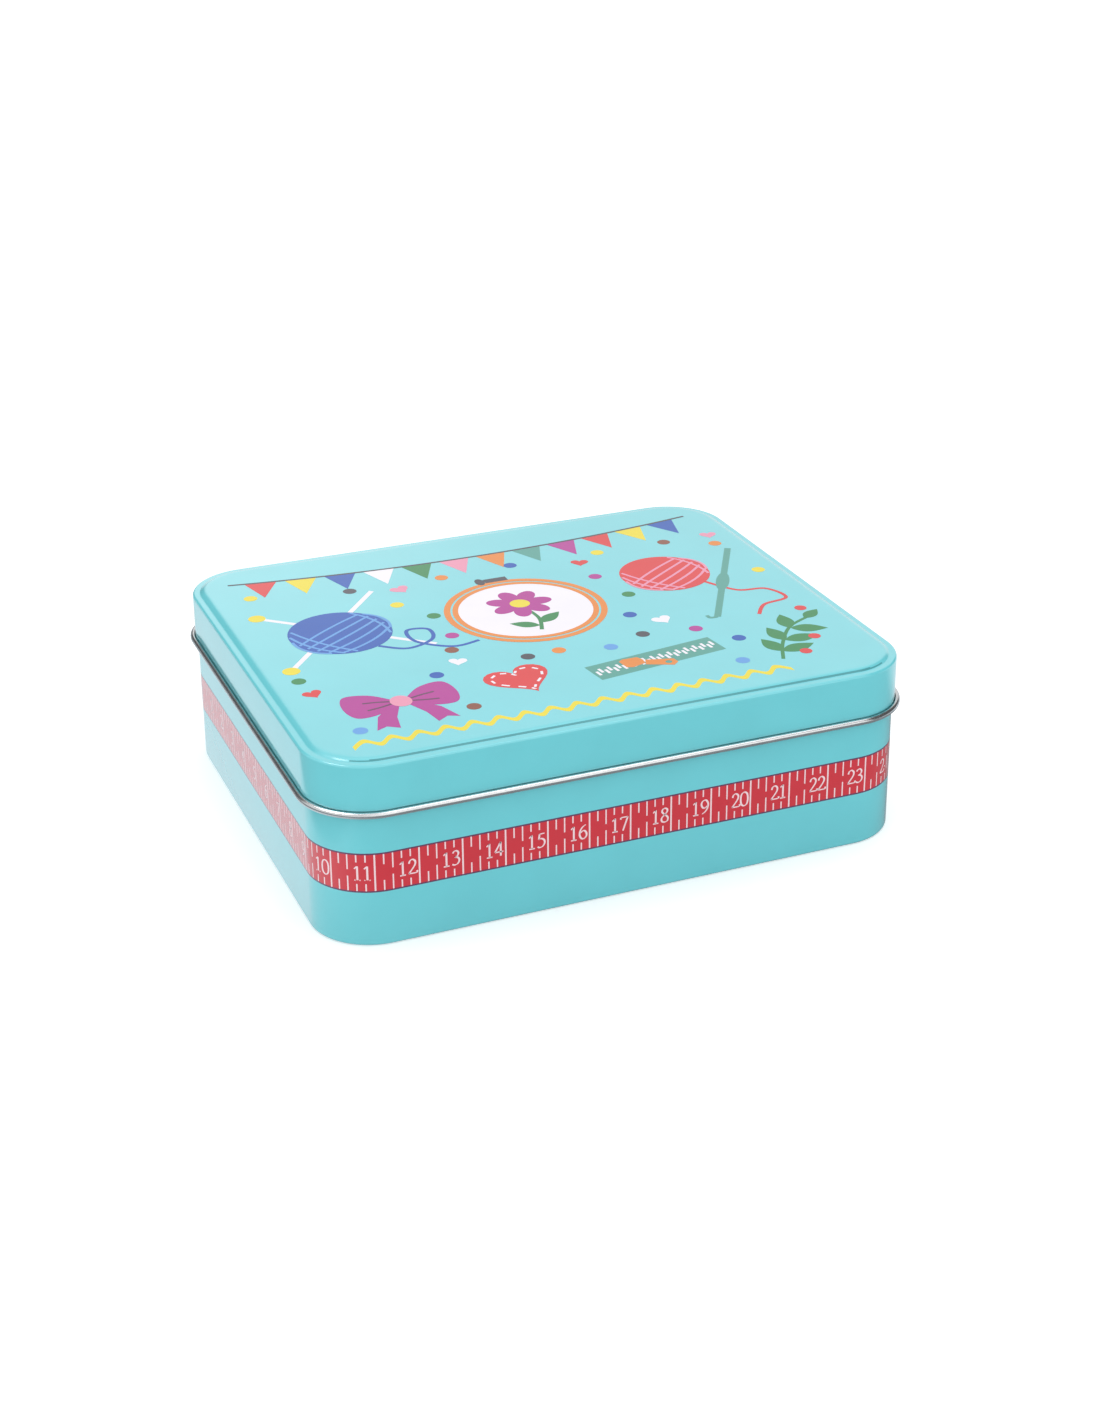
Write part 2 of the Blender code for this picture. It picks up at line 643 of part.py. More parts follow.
def build_seam_ripper():
    """A seam ripper on its side, its handle to +X and its clear cap to -X."""
    place = Vector((RIPPER_X, RIPPER_Y, RIPPER_LEVEL))
    lying = (0, QUARTER, 0)
    shoulder = RIPPER_SHANK
    tail = RIPPER_TAIL_RADIUS
    handle = arc((0, RIPPER_HANDLE - tail), (tail, tail), QUARTER, 0, ARC_STEPS)
    handle += [
        (RIPPER_RADIUS, RIPPER_HANDLE / 3), (RIPPER_RADIUS, shoulder), (RIPPER_SHANK_RADIUS, shoulder),
        (RIPPER_SHANK_RADIUS, 0), (RIPPER_HOLE_RADIUS, 0), (RIPPER_HOLE_RADIUS, RIPPER_HOLE),
        (0, RIPPER_HOLE),
    ]
    turned("ripper_handle", handle, RIPPER_STEPS, finish("ripper_plastic", RED_PLASTIC, 0.35), place, lying)

    mouth = shoulder - CLEARANCE
    inner = RIPPER_RADIUS - CAP_WALL
    cap = arc((0, RIPPER_RADIUS - CAP_REACH), (inner, inner), -QUARTER, 0, ARC_STEPS)
    cap += [(inner, mouth), (RIPPER_RADIUS, mouth)]
    cap += arc((0, RIPPER_RADIUS - CAP_REACH), (RIPPER_RADIUS, RIPPER_RADIUS), 0, -QUARTER, ARC_STEPS)
    clear = finish("ripper_clear", CLEAR_PLASTIC, 0.1)
    cap_piece = turned("ripper_cap", cap, RIPPER_STEPS, clear, place, lying)
    hang_on(cap_piece, joint_empty("ripper_cap_slide", place))

    half = FORK_WIDTH / 2
    wide = FORK_SPREAD / 2
    root = RIPPER_HOLE - CLEARANCE
    fork = [
        (root, half), (root, -half), (-FORK_CROTCH + FORK_WIDTH, -half),
        (-FORK_CROTCH - half, -wide), (-FORK_SHORT_PRONG, -wide), (-FORK_SHORT_PRONG, FORK_PRONG - wide),
        (-FORK_CROTCH - FORK_WIDTH, FORK_PRONG - wide), (-FORK_CROTCH - half, 0),
        (-FORK_CROTCH - FORK_WIDTH, half), (-FORK_LONG_PRONG, wide - half), (-FORK_LONG_PRONG + half, wide),
        (-FORK_CROTCH, wide), (-FORK_CROTCH + FORK_WIDTH, half),
    ]
    flat_piece("ripper_fork", [fork], FORK_THICKNESS, finish("fork_steel", STEEL, 0.25, 1.0), place)
    builder = bmesh.new()
    bmesh.ops.create_uvsphere(builder, u_segments=2 * HEAD_SEGMENTS, v_segments=HEAD_SEGMENTS,
                              radius=FORK_BEAD_RADIUS)
    ball = new_mesh("ripper_bead", builder)
    ball.shade_smooth()
    ball_place = place + Vector((-FORK_SHORT_PRONG - CLEARANCE - FORK_BEAD_RADIUS, FORK_PRONG / 2 - wide, 0))
    place_object("ripper_bead", ball, finish("bead_plastic", RED_PLASTIC, 0.3), ball_place)


def tape_path():
    """The rolled tape, from its inner end round to its straight tail, as points in its own plane."""
    path = []
    count = TAPE_TURNS * TAPE_POINTS
    for step in range(count + 1):
        angle = -QUARTER + TURN * (step - count) / TAPE_POINTS
        radius = TAPE_INNER_RADIUS + TAPE_PITCH * step / TAPE_POINTS
        path.append(Vector((radius * math.cos(angle), radius * math.sin(angle))))
    return path + [path[-1] + Vector((TAPE_TAIL * share, 0)) for share in (0.5, 1)]


def least_turn_gap(path):
    """The least free gap between a turn of the tape and the next one out."""
    gaps = [(path[step + TAPE_POINTS] - path[step]).length for step in range(len(path) - TAPE_POINTS)]
    return min(gaps) - TAPE_THICKNESS


def build_tape_measure():
    """A tape measure lying flat in its roll, with the metal clip on its end."""
    path = tape_path()
    print("least gap between tape turns, mm:", round(least_turn_gap(path) / MM, 3))
    builder = bmesh.new()
    verts = [builder.verts.new((point.x, point.y, 0)) for point in path]
    edges = [builder.edges.new(pair) for pair in zip(verts, verts[1:])]
    grown = bmesh.ops.extrude_edge_only(builder, edges=edges)["geom"]
    risen = [item for item in grown if isinstance(item, bmesh.types.BMVert)]
    bmesh.ops.translate(builder, verts=risen, vec=(0, 0, TAPE_WIDTH))
    cloth = finish("tape_cloth", PINK_TAPE, 0.6)
    tape = place_object("tape_roll", new_mesh("tape_roll", builder), cloth, (TAPE_X, TAPE_Y, SEAT))
    solidify = tape.modifiers.new("cloth", "SOLIDIFY")
    solidify.thickness = TAPE_THICKNESS
    solidify.offset = 0.0
    slot = TAPE_THICKNESS + 2 * CLIP_GAP
    outer = slot + 2 * CLIP_WALL
    end = path[-1] + Vector((CLIP_GAP + CLIP_WALL, 0))
    middle = (TAPE_X + end.x - CLIP_LENGTH / 2, TAPE_Y + end.y, SEAT + TAPE_WIDTH / 2)
    clip = place_object("tape_clip", box_mesh("tape_clip", (CLIP_LENGTH, outer, TAPE_WIDTH), [(0, 0, 0)]),
                        finish("clip_steel", STEEL, 0.3, 1.0), middle)
    slot_mesh = box_mesh("clip_slot", (CLIP_LENGTH, slot, TAPE_WIDTH + 2 * OVERRUN), [(-CLIP_WALL, 0, 0)])
    cut(clip, cutter_from("clip_slot_cutter", slot_mesh, middle))


def build_pin_wheel():
    """A wheel of pins: the disc, and the ring with the pins stuck through it like spokes."""
    level = SEAT + PIN_HEAD_RADIUS
    disc_top = level - PIN_RADIUS - CLEARANCE
    disc_low = disc_top - WHEEL_DISC_THICKNESS
    disc = [(0, disc_top), (WHEEL_DISC_RADIUS, disc_top), (WHEEL_DISC_RADIUS, disc_low), (0, disc_low)]
    centre = Vector((WHEEL_X, WHEEL_Y, 0))
    turned("wheel_disc", disc, WHEEL_STEPS, finish("wheel_card", WHITE_PLASTIC, 0.5), centre)
    ring_top = level + PIN_RADIUS + WHEEL_RING_THICKNESS
    ring = [(WHEEL_RING_OUTER, ring_top), (WHEEL_RING_OUTER, level), (WHEEL_RING_INNER, level),
            (WHEEL_RING_INNER, ring_top)]
    ring_mesh = turned_mesh("pin_ring", ring, WHEEL_STEPS, closed=True)
    neck = PIN_CIRCLE - PIN_HEAD_RADIUS * math.cos(math.asin(PIN_RADIUS / PIN_HEAD_RADIUS))
    head = arc((0, PIN_CIRCLE), (PIN_HEAD_RADIUS, PIN_HEAD_RADIUS), -QUARTER / 2, QUARTER, HEAD_RINGS - 1)
    pin = [(0, PIN_TIP_RADIUS), (PIN_RADIUS, PIN_TIP_RADIUS), (PIN_RADIUS, neck)] + head[:-1]
    pin.append((0, head[-1][1]))
    builder = bmesh.new()
    for index in range(PIN_COUNT):
        around = Matrix.Rotation(TURN * index / PIN_COUNT, 4, "Z") @ Matrix.Rotation(QUARTER, 4, "Y")
        spin_into(builder, pin, HEAD_SEGMENTS, Matrix.Translation((0, 0, level)) @ around)
    bmesh.ops.remove_doubles(builder, verts=builder.verts, dist=MERGE)
    bmesh.ops.recalc_face_normals(builder, faces=builder.faces)
    pins = joined_mesh("wheel_pins", ring_mesh, new_mesh("pins", builder))
    place_object("wheel_pins", pins, finish("pin_heads", RED_PLASTIC, 0.3), centre)


def build_needle_case():
    """A round case of needles: tray, pad, needles and strap."""
    centre = (CASE_X, CASE_Y, SEAT)
    inside = CASE_RADIUS - CASE_WALL
    tray = [(0, CASE_FLOOR), (inside, CASE_FLOOR), (inside, CASE_RIM), (CASE_RADIUS, CASE_RIM),
            (CASE_RADIUS, 0), (0, 0)]
    turned("needle_case", tray, CASE_STEPS, finish("case_plastic", WHITE_PLASTIC, 0.35), centre)
    pad_low = CASE_FLOOR + CLEARANCE
    pad_radius = inside - CLEARANCE
    pad_top = pad_low + PAD_THICKNESS
    pad = [(0, pad_top), (pad_radius, pad_top), (pad_radius, pad_low), (0, pad_low)]
    turned("needle_pad", pad, CASE_STEPS, finish("pad_foil", RED_FOIL, 0.35), centre)
    level = pad_top + CLEARANCE + NEEDLE_RADIUS
    ends = []
    for index in range(NEEDLE_COUNT):
        share = index - (NEEDLE_COUNT - 1) / 2
        eye = Vector((share * NEEDLE_HEAD_PITCH, NEEDLE_LENGTH / 2 - NEEDLE_FORWARD, level))
        point = Vector((share * NEEDLE_POINT_PITCH, -NEEDLE_LENGTH / 2 - NEEDLE_FORWARD, level))
        ends.append((eye, point))
    needles = rod_mesh("needles", NEEDLE_RADIUS, NEEDLE_SIDES, ends)
    strap_length = 2 * math.sqrt(pad_radius ** 2 - (STRAP_OFFSET + STRAP_WIDTH / 2) ** 2)
    middle = (0, STRAP_OFFSET, level + STRAP_THICKNESS / 2)
    strap = box_mesh("needle_strap", (strap_length, STRAP_WIDTH, STRAP_THICKNESS), [middle])
    fan = joined_mesh("needle_fan", strap, needles)
    place_object("needle_fan", fan, finish("needle_steel", STEEL, 0.3, 1.0), centre)


def safety_pin_mesh(name, leg):
    """A closed safety pin that lies in its own XY plane, its cap at the origin and its bend at +X."""
    start = SAFETY_CAP_LENGTH - CLEARANCE
    bend = arc((SAFETY_CAP_LENGTH + leg, 0), (SAFETY_BEND_RADIUS, SAFETY_BEND_RADIUS), -QUARTER, QUARTER,
               SAFETY_BEND_STEPS)
    path = [(start, -SAFETY_BEND_RADIUS)] + bend + [(start, SAFETY_BEND_RADIUS)]
    curve = bpy.data.curves.new(name, "CURVE")
    curve.dimensions = "3D"
    curve.bevel_depth = SAFETY_WIRE_RADIUS
    curve.bevel_resolution = 1
    curve.use_fill_caps = True
    spline = curve.splines.new("POLY")
    spline.points.add(len(path) - 1)
    for point, (x, y) in zip(spline.points, path):
        point.co = (x, y, 0, 1)
    wire = bpy.data.objects.new(name + "_wire", curve)
    TIN.objects.link(wire)
    builder = bmesh.new()
    middle = Matrix.Translation((SAFETY_CAP_LENGTH / 2, 0, 0))
    sizes = Matrix.Diagonal((SAFETY_CAP_LENGTH, SAFETY_CAP_HEIGHT, SAFETY_CAP_THICKNESS, 1))
    bmesh.ops.create_cube(builder, size=1, matrix=middle @ sizes)
    bmesh.ops.bevel(builder, geom=list(builder.edges), offset=SAFETY_CAP_ROUNDING, segments=1, affect="EDGES")
    return joined_mesh(name, settled_mesh(wire), new_mesh(name + "_cap", builder))


def build_safety_pins():
    """Nine safety pins standing side by side, threaded on a tenth that lies across them."""
    level = SEAT + SAFETY_CAP_HEIGHT / 2
    pin = safety_pin_mesh("safety_pin", SAFETY_PIN_LEG)
    steel = finish("safety_pin_steel", STEEL, 0.3, 1.0)
    standing = (QUARTER, 0, QUARTER)
    for index in range(SAFETY_PIN_COUNT):
        place = (SAFETY_X + index * SAFETY_PIN_PITCH, SAFETY_Y, level)
        place_object("safety_pin_%d" % (index + 1), pin, steel, place, standing)
    inner_bend = SAFETY_Y + SAFETY_CAP_LENGTH + SAFETY_PIN_LEG + SAFETY_BEND_RADIUS - SAFETY_WIRE_RADIUS
    leg_y = inner_bend - CLEARANCE - SAFETY_WIRE_RADIUS
    start = SAFETY_X - SAFETY_CAP_LENGTH - SAFETY_CAP_THICKNESS
    carrier = safety_pin_mesh("carrier_pin", CARRIER_LEG)
    place_object("carrier_pin", carrier, finish("carrier_steel", STEEL, 0.3, 1.0),
                 (start, leg_y + SAFETY_BEND_RADIUS, level))


def build_button_bag():
    """A small open bag of film with buttons and press studs in it."""
    centre = Vector((BAG_X, BAG_Y, SEAT + BAG_HEIGHT / 2))
    builder = bmesh.new()
    bmesh.ops.create_cube(builder, size=1, matrix=Matrix.Diagonal((BAG_WIDTH, BAG_LENGTH, BAG_HEIGHT, 1)))
    mouth = [face for face in builder.faces if face.normal.y > 0.5]
    bmesh.ops.delete(builder, geom=mouth, context="FACES_ONLY")
    rim = [edge for edge in builder.edges if not edge.is_boundary]
    bmesh.ops.bevel(builder, geom=rim, offset=BAG_ROUNDING, segments=2, profile=0.5, affect="EDGES")
    film = finish("bag_film", CLEAR_PLASTIC, 0.15)
    bag = place_object("button_bag", new_mesh("button_bag", builder), film, centre)
    solidify = bag.modifiers.new("film", "SOLIDIFY")
    solidify.thickness = BAG_FILM
    solidify.offset = -1.0
    solidify.use_even_offset = True

    seat = SEAT + BAG_FILM + CLEARANCE
    rim_in = BUTTON_RADIUS - BUTTON_RIM
    dish = BUTTON_HEIGHT - BUTTON_DISH
    profile = [(0, dish), (rim_in, dish), (rim_in, BUTTON_HEIGHT), (BUTTON_RADIUS, BUTTON_HEIGHT),
               (BUTTON_RADIUS, BUTTON_DISH), (rim_in, 0), (0, 0)]
    blank = turned("button_blank", profile, BUTTON_STEPS, None)
    far = BUTTON_HEIGHT + OVERRUN
    holes = [((x, 0, -OVERRUN), (x, 0, far)) for x in (-BUTTON_HOLE_SPREAD, BUTTON_HOLE_SPREAD)]
    hole_mesh = rod_mesh("button_holes", BUTTON_HOLE_RADIUS, HEAD_SEGMENTS, holes)
    cut(blank, cutter_from("button_hole_cutter", hole_mesh))
    button = settled_mesh(blank)
    round_shading(button)
    stud_profile = [(0, STUD_HEIGHT + STUD_CROWN), (STUD_CROWN_RADIUS, STUD_HEIGHT + STUD_CROWN),
                    (STUD_CROWN_RADIUS, STUD_HEIGHT), (STUD_RADIUS, STUD_HEIGHT), (STUD_RADIUS, 0), (0, 0)]
    stud = turned_mesh("stud", stud_profile, BUTTON_STEPS)
    round_shading(stud)
    dark = finish("button_plastic", DARK_BUTTON, 0.3)
    white = finish("stud_plastic", WHITE_PLASTIC, 0.4)
    pitch = 2 * BUTTON_RADIUS + BUTTON_GAP
    for index in range(BUTTON_ROWS * BUTTON_COLUMNS):
        row, column = divmod(index, BUTTON_COLUMNS)
        place = Vector((BAG_X + (column - (BUTTON_COLUMNS - 1) / 2) * pitch,
                        BAG_Y + (row - (BUTTON_ROWS - 1) / 2) * pitch, seat))
        place_object("button_%d" % (index + 1), button, dark, place)
        if index < STUD_COUNT:
            place.z += BUTTON_HEIGHT + CLEARANCE
            place_object("press_stud_%d" % (index + 1), stud, white, place)


# Places in the tin, worked out from the walls and from the neighbours
CORNER_ROOM = INNER_CORNER * (1 - math.sqrt(0.5))
SCISSORS_X = INNER_X - PIECE_ROOM - HANDLE_REACH
SCISSORS_Y = -INNER_Y + SCISSORS_FROM_FRONT
BAG_TOP = SEAT + BAG_HEIGHT
SCISSORS_LEVEL = BAG_TOP + CLEARANCE + HANDLE_THICKNESS / 2
WHEEL_REACH = PIN_CIRCLE + PIN_HEAD_RADIUS
WHEEL_X = -INNER_X + SIDE_ROOM + WHEEL_REACH
WHEEL_Y = -INNER_Y + SIDE_ROOM + WHEEL_REACH
CASE_X = -INNER_X + PIECE_ROOM + CORNER_ROOM / 2 + CASE_RADIUS
CASE_Y = INNER_Y - SIDE_ROOM - CASE_RADIUS
SPOOL_FROM_CORNER = (INNER_CORNER - SIDE_ROOM - SPOOL_RADIUS) * math.sqrt(0.5)
SPOOL_X = INNER_X - INNER_CORNER + SPOOL_FROM_CORNER
SPOOL_Y = INNER_Y - INNER_CORNER + SPOOL_FROM_CORNER
SPOOL_LEFT = SPOOL_X - (SPOOL_COLUMNS - 1) * (2 * SPOOL_RADIUS + SPOOL_GAP) - SPOOL_RADIUS
SPOOL_FRONT = SPOOL_Y - 3 * SPOOL_RADIUS - SPOOL_GAP
TAPE_RADIUS = TAPE_INNER_RADIUS + TAPE_TURNS * TAPE_PITCH
TAPE_X = SPOOL_LEFT - PIECE_ROOM - TAPE_RADIUS
TAPE_Y = INNER_Y - PIECE_ROOM - TAPE_RADIUS
THIMBLE_X = TAPE_X
THIMBLE_Y = TAPE_Y - TAPE_RADIUS - 2 * PIECE_ROOM - THIMBLE_RADIUS
RIPPER_X = INNER_X - PIECE_ROOM - SIDE_ROOM - RIPPER_HANDLE
RIPPER_Y = SPOOL_Y
RIPPER_LEVEL = SEAT + SPOOL_HEIGHT + CLEARANCE + RIPPER_RADIUS
BAG_X = SCISSORS_X + HANDLE_START + PIECE_ROOM + BAG_WIDTH / 4
BAG_Y = SCISSORS_Y
SAFETY_X = SPOOL_LEFT + BAG_WIDTH / 2
SAFETY_Y = SPOOL_FRONT - PIECE_ROOM - SAFETY_PIN_LEG - SAFETY_CAP_LENGTH - 4 * SAFETY_BEND_RADIUS

clear_scene()
TIN = new_collection("sewing_tin")
CUTTERS = new_collection("cutters")
build_body_wall()
build_base_panel()
build_lid()
build_scissors()
build_spools()
build_thimble()
build_seam_ripper()
build_tape_measure()
build_pin_wheel()
build_needle_case()
build_safety_pins()
build_button_bag()
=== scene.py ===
import math

import bmesh
import bpy
from mathutils import Matrix, Vector, noise


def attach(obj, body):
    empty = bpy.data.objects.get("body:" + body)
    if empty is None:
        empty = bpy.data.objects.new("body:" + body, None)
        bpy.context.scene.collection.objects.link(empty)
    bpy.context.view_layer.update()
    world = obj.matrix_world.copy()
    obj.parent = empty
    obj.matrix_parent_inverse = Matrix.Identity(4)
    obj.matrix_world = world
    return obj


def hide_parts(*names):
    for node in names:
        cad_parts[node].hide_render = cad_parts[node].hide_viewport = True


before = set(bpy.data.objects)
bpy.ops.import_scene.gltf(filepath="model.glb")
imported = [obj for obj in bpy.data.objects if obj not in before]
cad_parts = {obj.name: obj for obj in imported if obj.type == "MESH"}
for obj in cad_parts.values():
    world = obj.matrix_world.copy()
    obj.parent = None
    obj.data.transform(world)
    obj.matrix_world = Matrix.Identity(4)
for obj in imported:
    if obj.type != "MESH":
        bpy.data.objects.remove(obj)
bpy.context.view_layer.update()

MM = 0.001
DEGREE = math.pi / 180
QUARTER = math.pi / 2
TURN = 2 * math.pi
ONE_CORNER = 0.002 * MM

# The tin's own sizes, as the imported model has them
BODY_HALF_X = 71.8 * MM
BODY_HALF_Y = 59.8 * MM
BODY_CORNER = 14.7 * MM
CORNER_STEPS = 24
SHEET = 0.25 * MM
FOOT_ROUND = 0.8 * MM
FOOT_HEM = 3.4 * MM
MOUTH_TOP = 43.43 * MM
MOUTH_ROUND = 0.6 * MM
MOUTH_FLAT = 1.0 * MM
MOUTH_LIP = 0.5 * MM
LID_OUT = 0.6 * MM
SKIRT_FOOT = 32.52 * MM
SKIRT_TOP = 43.32 * MM
RIM_IN = 0.53 * MM
RIM_RISE = 0.66 * MM
LEDGE = 1.19 * MM
STEP_RISE = 0.62 * MM
PANEL_TOP = 44.6 * MM
BEAD_CENTRE = 1.1 * MM
BEAD_RADIUS = 0.75 * MM
BEAD_STEPS = 48
BEAD_OPENING = (1, 61)

# The lid's step up to its panel, as how far in (mm) at what slope (degrees), the flat loops inside it, and the
# painted shade on it: the top of a painted shade band above the bead, and the steep front faces of the step that
# get it
STEP_RUNS = ((0.1, 10), (0.1, 20), (0.1, 30), (0.28, 37), (0.2, 32), (0.2, 26), (0.2, 20), (0.2, 14), (0.2, 9),
             (0.22, 5), (0.29, 2))
PANEL_LOOPS = (0.3 * MM, 1.5 * MM)
SHADE_BAND_TOP = 33.38 * MM
STEEP = 0.89
TO_THE_FRONT = -0.45

# The tape printed round the body
BAND_LOW = 13.7 * MM
BAND_HIGH = 22.5 * MM
BAND_EDGE = 0.38 * MM
BAND_STEP = 0.5 * MM
CENTIMETRE = 10 * MM
DIVISIONS = 50
LINE_HALF = 0.19 * MM
MARK_WIDE = 0.32 * MM
MARKS = ((2, 0.28), (4, 0.41), (6, 0.20), (8, 0.20))
FIGURE_BEFORE_LINE = 0.55 * MM
FIRST_LINE = -0.4 * MM
INK = 0.007 * MM
DIGIT_HEIGHT = 3.5 * MM
PEN_BROAD = 0.13
PEN_FINE = 0.06
PEN_SLANT = 20 * DEGREE

# Lacquer and ink colours, linear
AQUA = (0.165, 0.66, 0.73)
RED = (0.66, 0.028, 0.046)
PLUM = (0.13, 0.04, 0.11)
CHALK = (0.97, 0.74, 0.78)
LID_INKS = {
    "blue": (0.02, 0.105, 0.46), "pale_blue": (0.13, 0.36, 0.76), "coral": (0.72, 0.045, 0.05),
    "teal": (0.10, 0.36, 0.31), "green": (0.035, 0.25, 0.08), "yellow": (0.84, 0.70, 0.04),
    "magenta": (0.46, 0.04, 0.31), "pink": (0.82, 0.32, 0.46), "slate": (0.07, 0.07, 0.09),
    "brown": (0.26, 0.08, 0.045), "orange": (0.80, 0.26, 0.045), "white": (0.90, 0.87, 0.94), "plum": PLUM,
}

# The studio, its floor in metres, and what the gloss mirrors of both
FLOOR_SIZE = 12
FLOOR_WHITE = (0.88, 0.88, 0.88, 1)
FLOOR_GLOW = 0.34
FLOOR_MIRRORED = (0.9, 1.0, 1.06, 1)
FLOOR_DARK, FLOOR_BRIGHT = 0.3, 0.85
WHITE_LIGHT = (1, 1, 1, 1)
STUDIO_LEVEL = 0.95
LEAST_MIRRORED = 0.1
SOFTBOX_PLACE = (-0.1, 0.1, 1.1)
SOFTBOX_SIZE = 1.2
SOFTBOX_WATTS = 2.6

# Soft steps in what it mirrors: the way across each, where it starts and ends, and the levels that it goes between
FLOOR_BEHIND = ((-0.8, 1, 0), -0.05, 0.04)
FLOOR_NEAR = ((1, 0, 0), -0.125, -0.108)
FLOOR_RIGHT = ((1, 1, 0), 0.09, 0.14)
STUDIO_FRONT = ((0, 1, 0), -0.35, 0.3, 0.92, 0.84)
DARK_FLAG = ((-0.36, 0.86, 0.26), 0.84, 0.95, 1.0, 0.1)
OVERHEAD = (0.65, (1, 1, 1), 0.95, (0.5, 0.5, 0.51))

# More that it mirrors: the way to it, its outer and inner edge in degrees, and its strength
STUDIO_PATCHES = (
    ((-0.43, 0.16, 0.89), 16, 10, 8.0),
    ((0.36, -0.06, 0.93), 16, 10, 2.5),
    ((0.36, -0.6, 0.7), 42, 25, 0.45),
    ((0.2, 0.95, 0.28), 11, 4, 0.3),
    ((0.9, -0.1, 0.42), 46, 32, -1.3),
)

# The camera: which way it looks, what it sees the tin's middle at, and its lens
CAMERA_ACROSS, CAMERA_TILT, CAMERA_ROLL = 22.792 * DEGREE, 22.112 * DEGREE, -0.153 * DEGREE
CAMERA_AWAY = (-10.40, 49.96, 571.85)
CAMERA_SENSOR = 36
CAMERA_LENS = 58.04
CAMERA_SHIFT = (-0.01887, -0.0914)


# Working on a piece

def lay_aside():
    """Leave everything out of the hand."""
    bpy.ops.object.select_all(action="DESELECT")


def take(piece):
    """Take one piece in hand."""
    lay_aside()
    piece.select_set(True)
    bpy.context.view_layer.objects.active = piece


def edit(piece, kind="FACE"):
    """Open a piece's mesh."""
    take(piece)
    bpy.ops.object.mode_set(mode="EDIT")
    bpy.ops.mesh.select_mode(type=kind)


def close():
    """Close the open mesh."""
    bpy.ops.object.mode_set(mode="OBJECT")


def pick(piece, wanted, kind="FACE"):
    """Select the faces, edges or vertices that are wanted."""
    bpy.ops.mesh.select_mode(type=kind)
    bpy.ops.mesh.select_all(action="DESELECT")
    mesh = bmesh.from_edit_mesh(piece.data)
    parts = {"FACE": mesh.faces, "EDGE": mesh.edges, "VERT": mesh.verts}[kind]
    for part in parts:
        if wanted(part):
            part.select_set(True)
    bmesh.update_edit_mesh(piece.data)


def pick_all():
    """Select all of the open mesh."""
    bpy.ops.mesh.select_all(action="SELECT")


def inset(thickness, depth=0.0, each=False):
    """Inset what is picked, and sink or raise it, in millimetres."""
    bpy.ops.mesh.inset(thickness=thickness * MM, depth=depth * MM, use_individual=each)


def draw_out(x=0.0, z=0.0):
    """Extrude what is picked, in millimetres."""
    bpy.ops.mesh.extrude_region_move(TRANSFORM_OT_translate={"value": (x * MM, 0, z * MM)})


def new_piece(name):
    """The piece just added, under its name, with its size and place in its mesh."""
    piece = bpy.context.object
    piece.name = name
    bpy.ops.object.transform_apply(location=True, rotation=True, scale=True)
    return piece


def hang(name, data):
    """An object for a new mesh or curve."""
    piece = bpy.data.objects.new(name, data)
    bpy.context.scene.collection.objects.link(piece)
    return piece


def into_mesh(piece):
    """Turn a curve into a mesh."""
    take(piece)
    bpy.ops.object.convert(target="MESH")
    return bpy.context.object


def apply_all(piece):
    """Apply a piece's modifiers, in order."""
    take(piece)
    for modifier in list(piece.modifiers):
        bpy.ops.object.modifier_apply(modifier=modifier.name)


def put(piece, place=(0, 0, 0), turn=(0, 0, 0)):
    """Move a piece for good to its place in millimetres."""
    piece.location = [part * MM for part in place]
    piece.rotation_euler = turn
    take(piece)
    bpy.ops.object.transform_apply(location=True, rotation=True, scale=True)
    return piece


def smooth(piece, angle=35):
    """Smooth shading with crisp edges."""
    take(piece)
    bpy.ops.object.shade_smooth_by_angle(angle=angle * DEGREE)


def paint(piece, *finishes):
    """Give a piece its finish, or its outer and inner ones."""
    piece.data.materials.clear()
    for one in finishes:
        piece.data.materials.append(one)


def thicken(piece, thickness, inner=False):
    """Give a sheet its thickness, inwards from the face it was drawn on."""
    wall = piece.modifiers.new("sheet", "SOLIDIFY")
    wall.thickness = thickness
    wall.offset = -1
    wall.use_even_offset = True
    if inner:
        wall.material_offset = 1
        wall.material_offset_rim = 1
    apply_all(piece)


def face_out(piece):
    """Close up doubled corners and turn the faces outwards."""
    edit(piece)
    pick_all()
    bpy.ops.mesh.remove_doubles(threshold=ONE_CORNER)
    bpy.ops.mesh.normals_make_consistent(inside=False)
    close()


def clear_away(*models):
    """Remove what was only a model or a cutter."""
    for model in models:
        bpy.data.objects.remove(model, do_unlink=True)


def cut_out(piece, tool):
    """Cut a tool's shape out of a piece, and clear the tool away."""
    hole = piece.modifiers.new("hole", "BOOLEAN")
    hole.operation = "DIFFERENCE"
    hole.solver = "EXACT"
    hole.object = tool
    apply_all(piece)
    clear_away(tool)


def on_body(piece, body, slot, *nodes):
    """Let a piece ride its body, in place of the model's plain ones."""
    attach(piece, body)
    if nodes:
        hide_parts(*nodes)


def fit(piece, finish, body, slot, *nodes, angle=35):
    """Finish a piece and put it on its body."""
    paint(piece, finish)
    smooth(piece, angle)
    on_body(piece, body, slot, *nodes)


# Nodes

def node(tree, kind, sockets, out=0, **settings):
    """Add a node and give one of its outputs. A socket takes a value, or the output that feeds it."""
    made = tree.nodes.new("ShaderNode" + kind)
    for setting, value in settings.items():
        setattr(made, setting, value)
    for socket, value in sockets.items():
        if isinstance(value, bpy.types.NodeSocket):
            tree.links.new(value, made.inputs[socket])
        else:
            made.inputs[socket].default_value = value
    return made.outputs[out] if made.outputs else None


def own_place(tree):
    """The coordinates that are fixed to the piece."""
    return node(tree, "TexCoord", {}, "Object")


def maths(tree, operation, one, other):
    """Two amounts made one."""
    return node(tree, "Math", {0: one, 1: other}, operation=operation)


def spread(tree, amount, start, end, low, high, way="LINEAR"):
    """An amount brought from one range to another."""
    return node(tree, "MapRange", {"Value": amount, "From Min": start, "From Max": end, "To Min": low,
                                   "To Max": high}, interpolation_type=way)


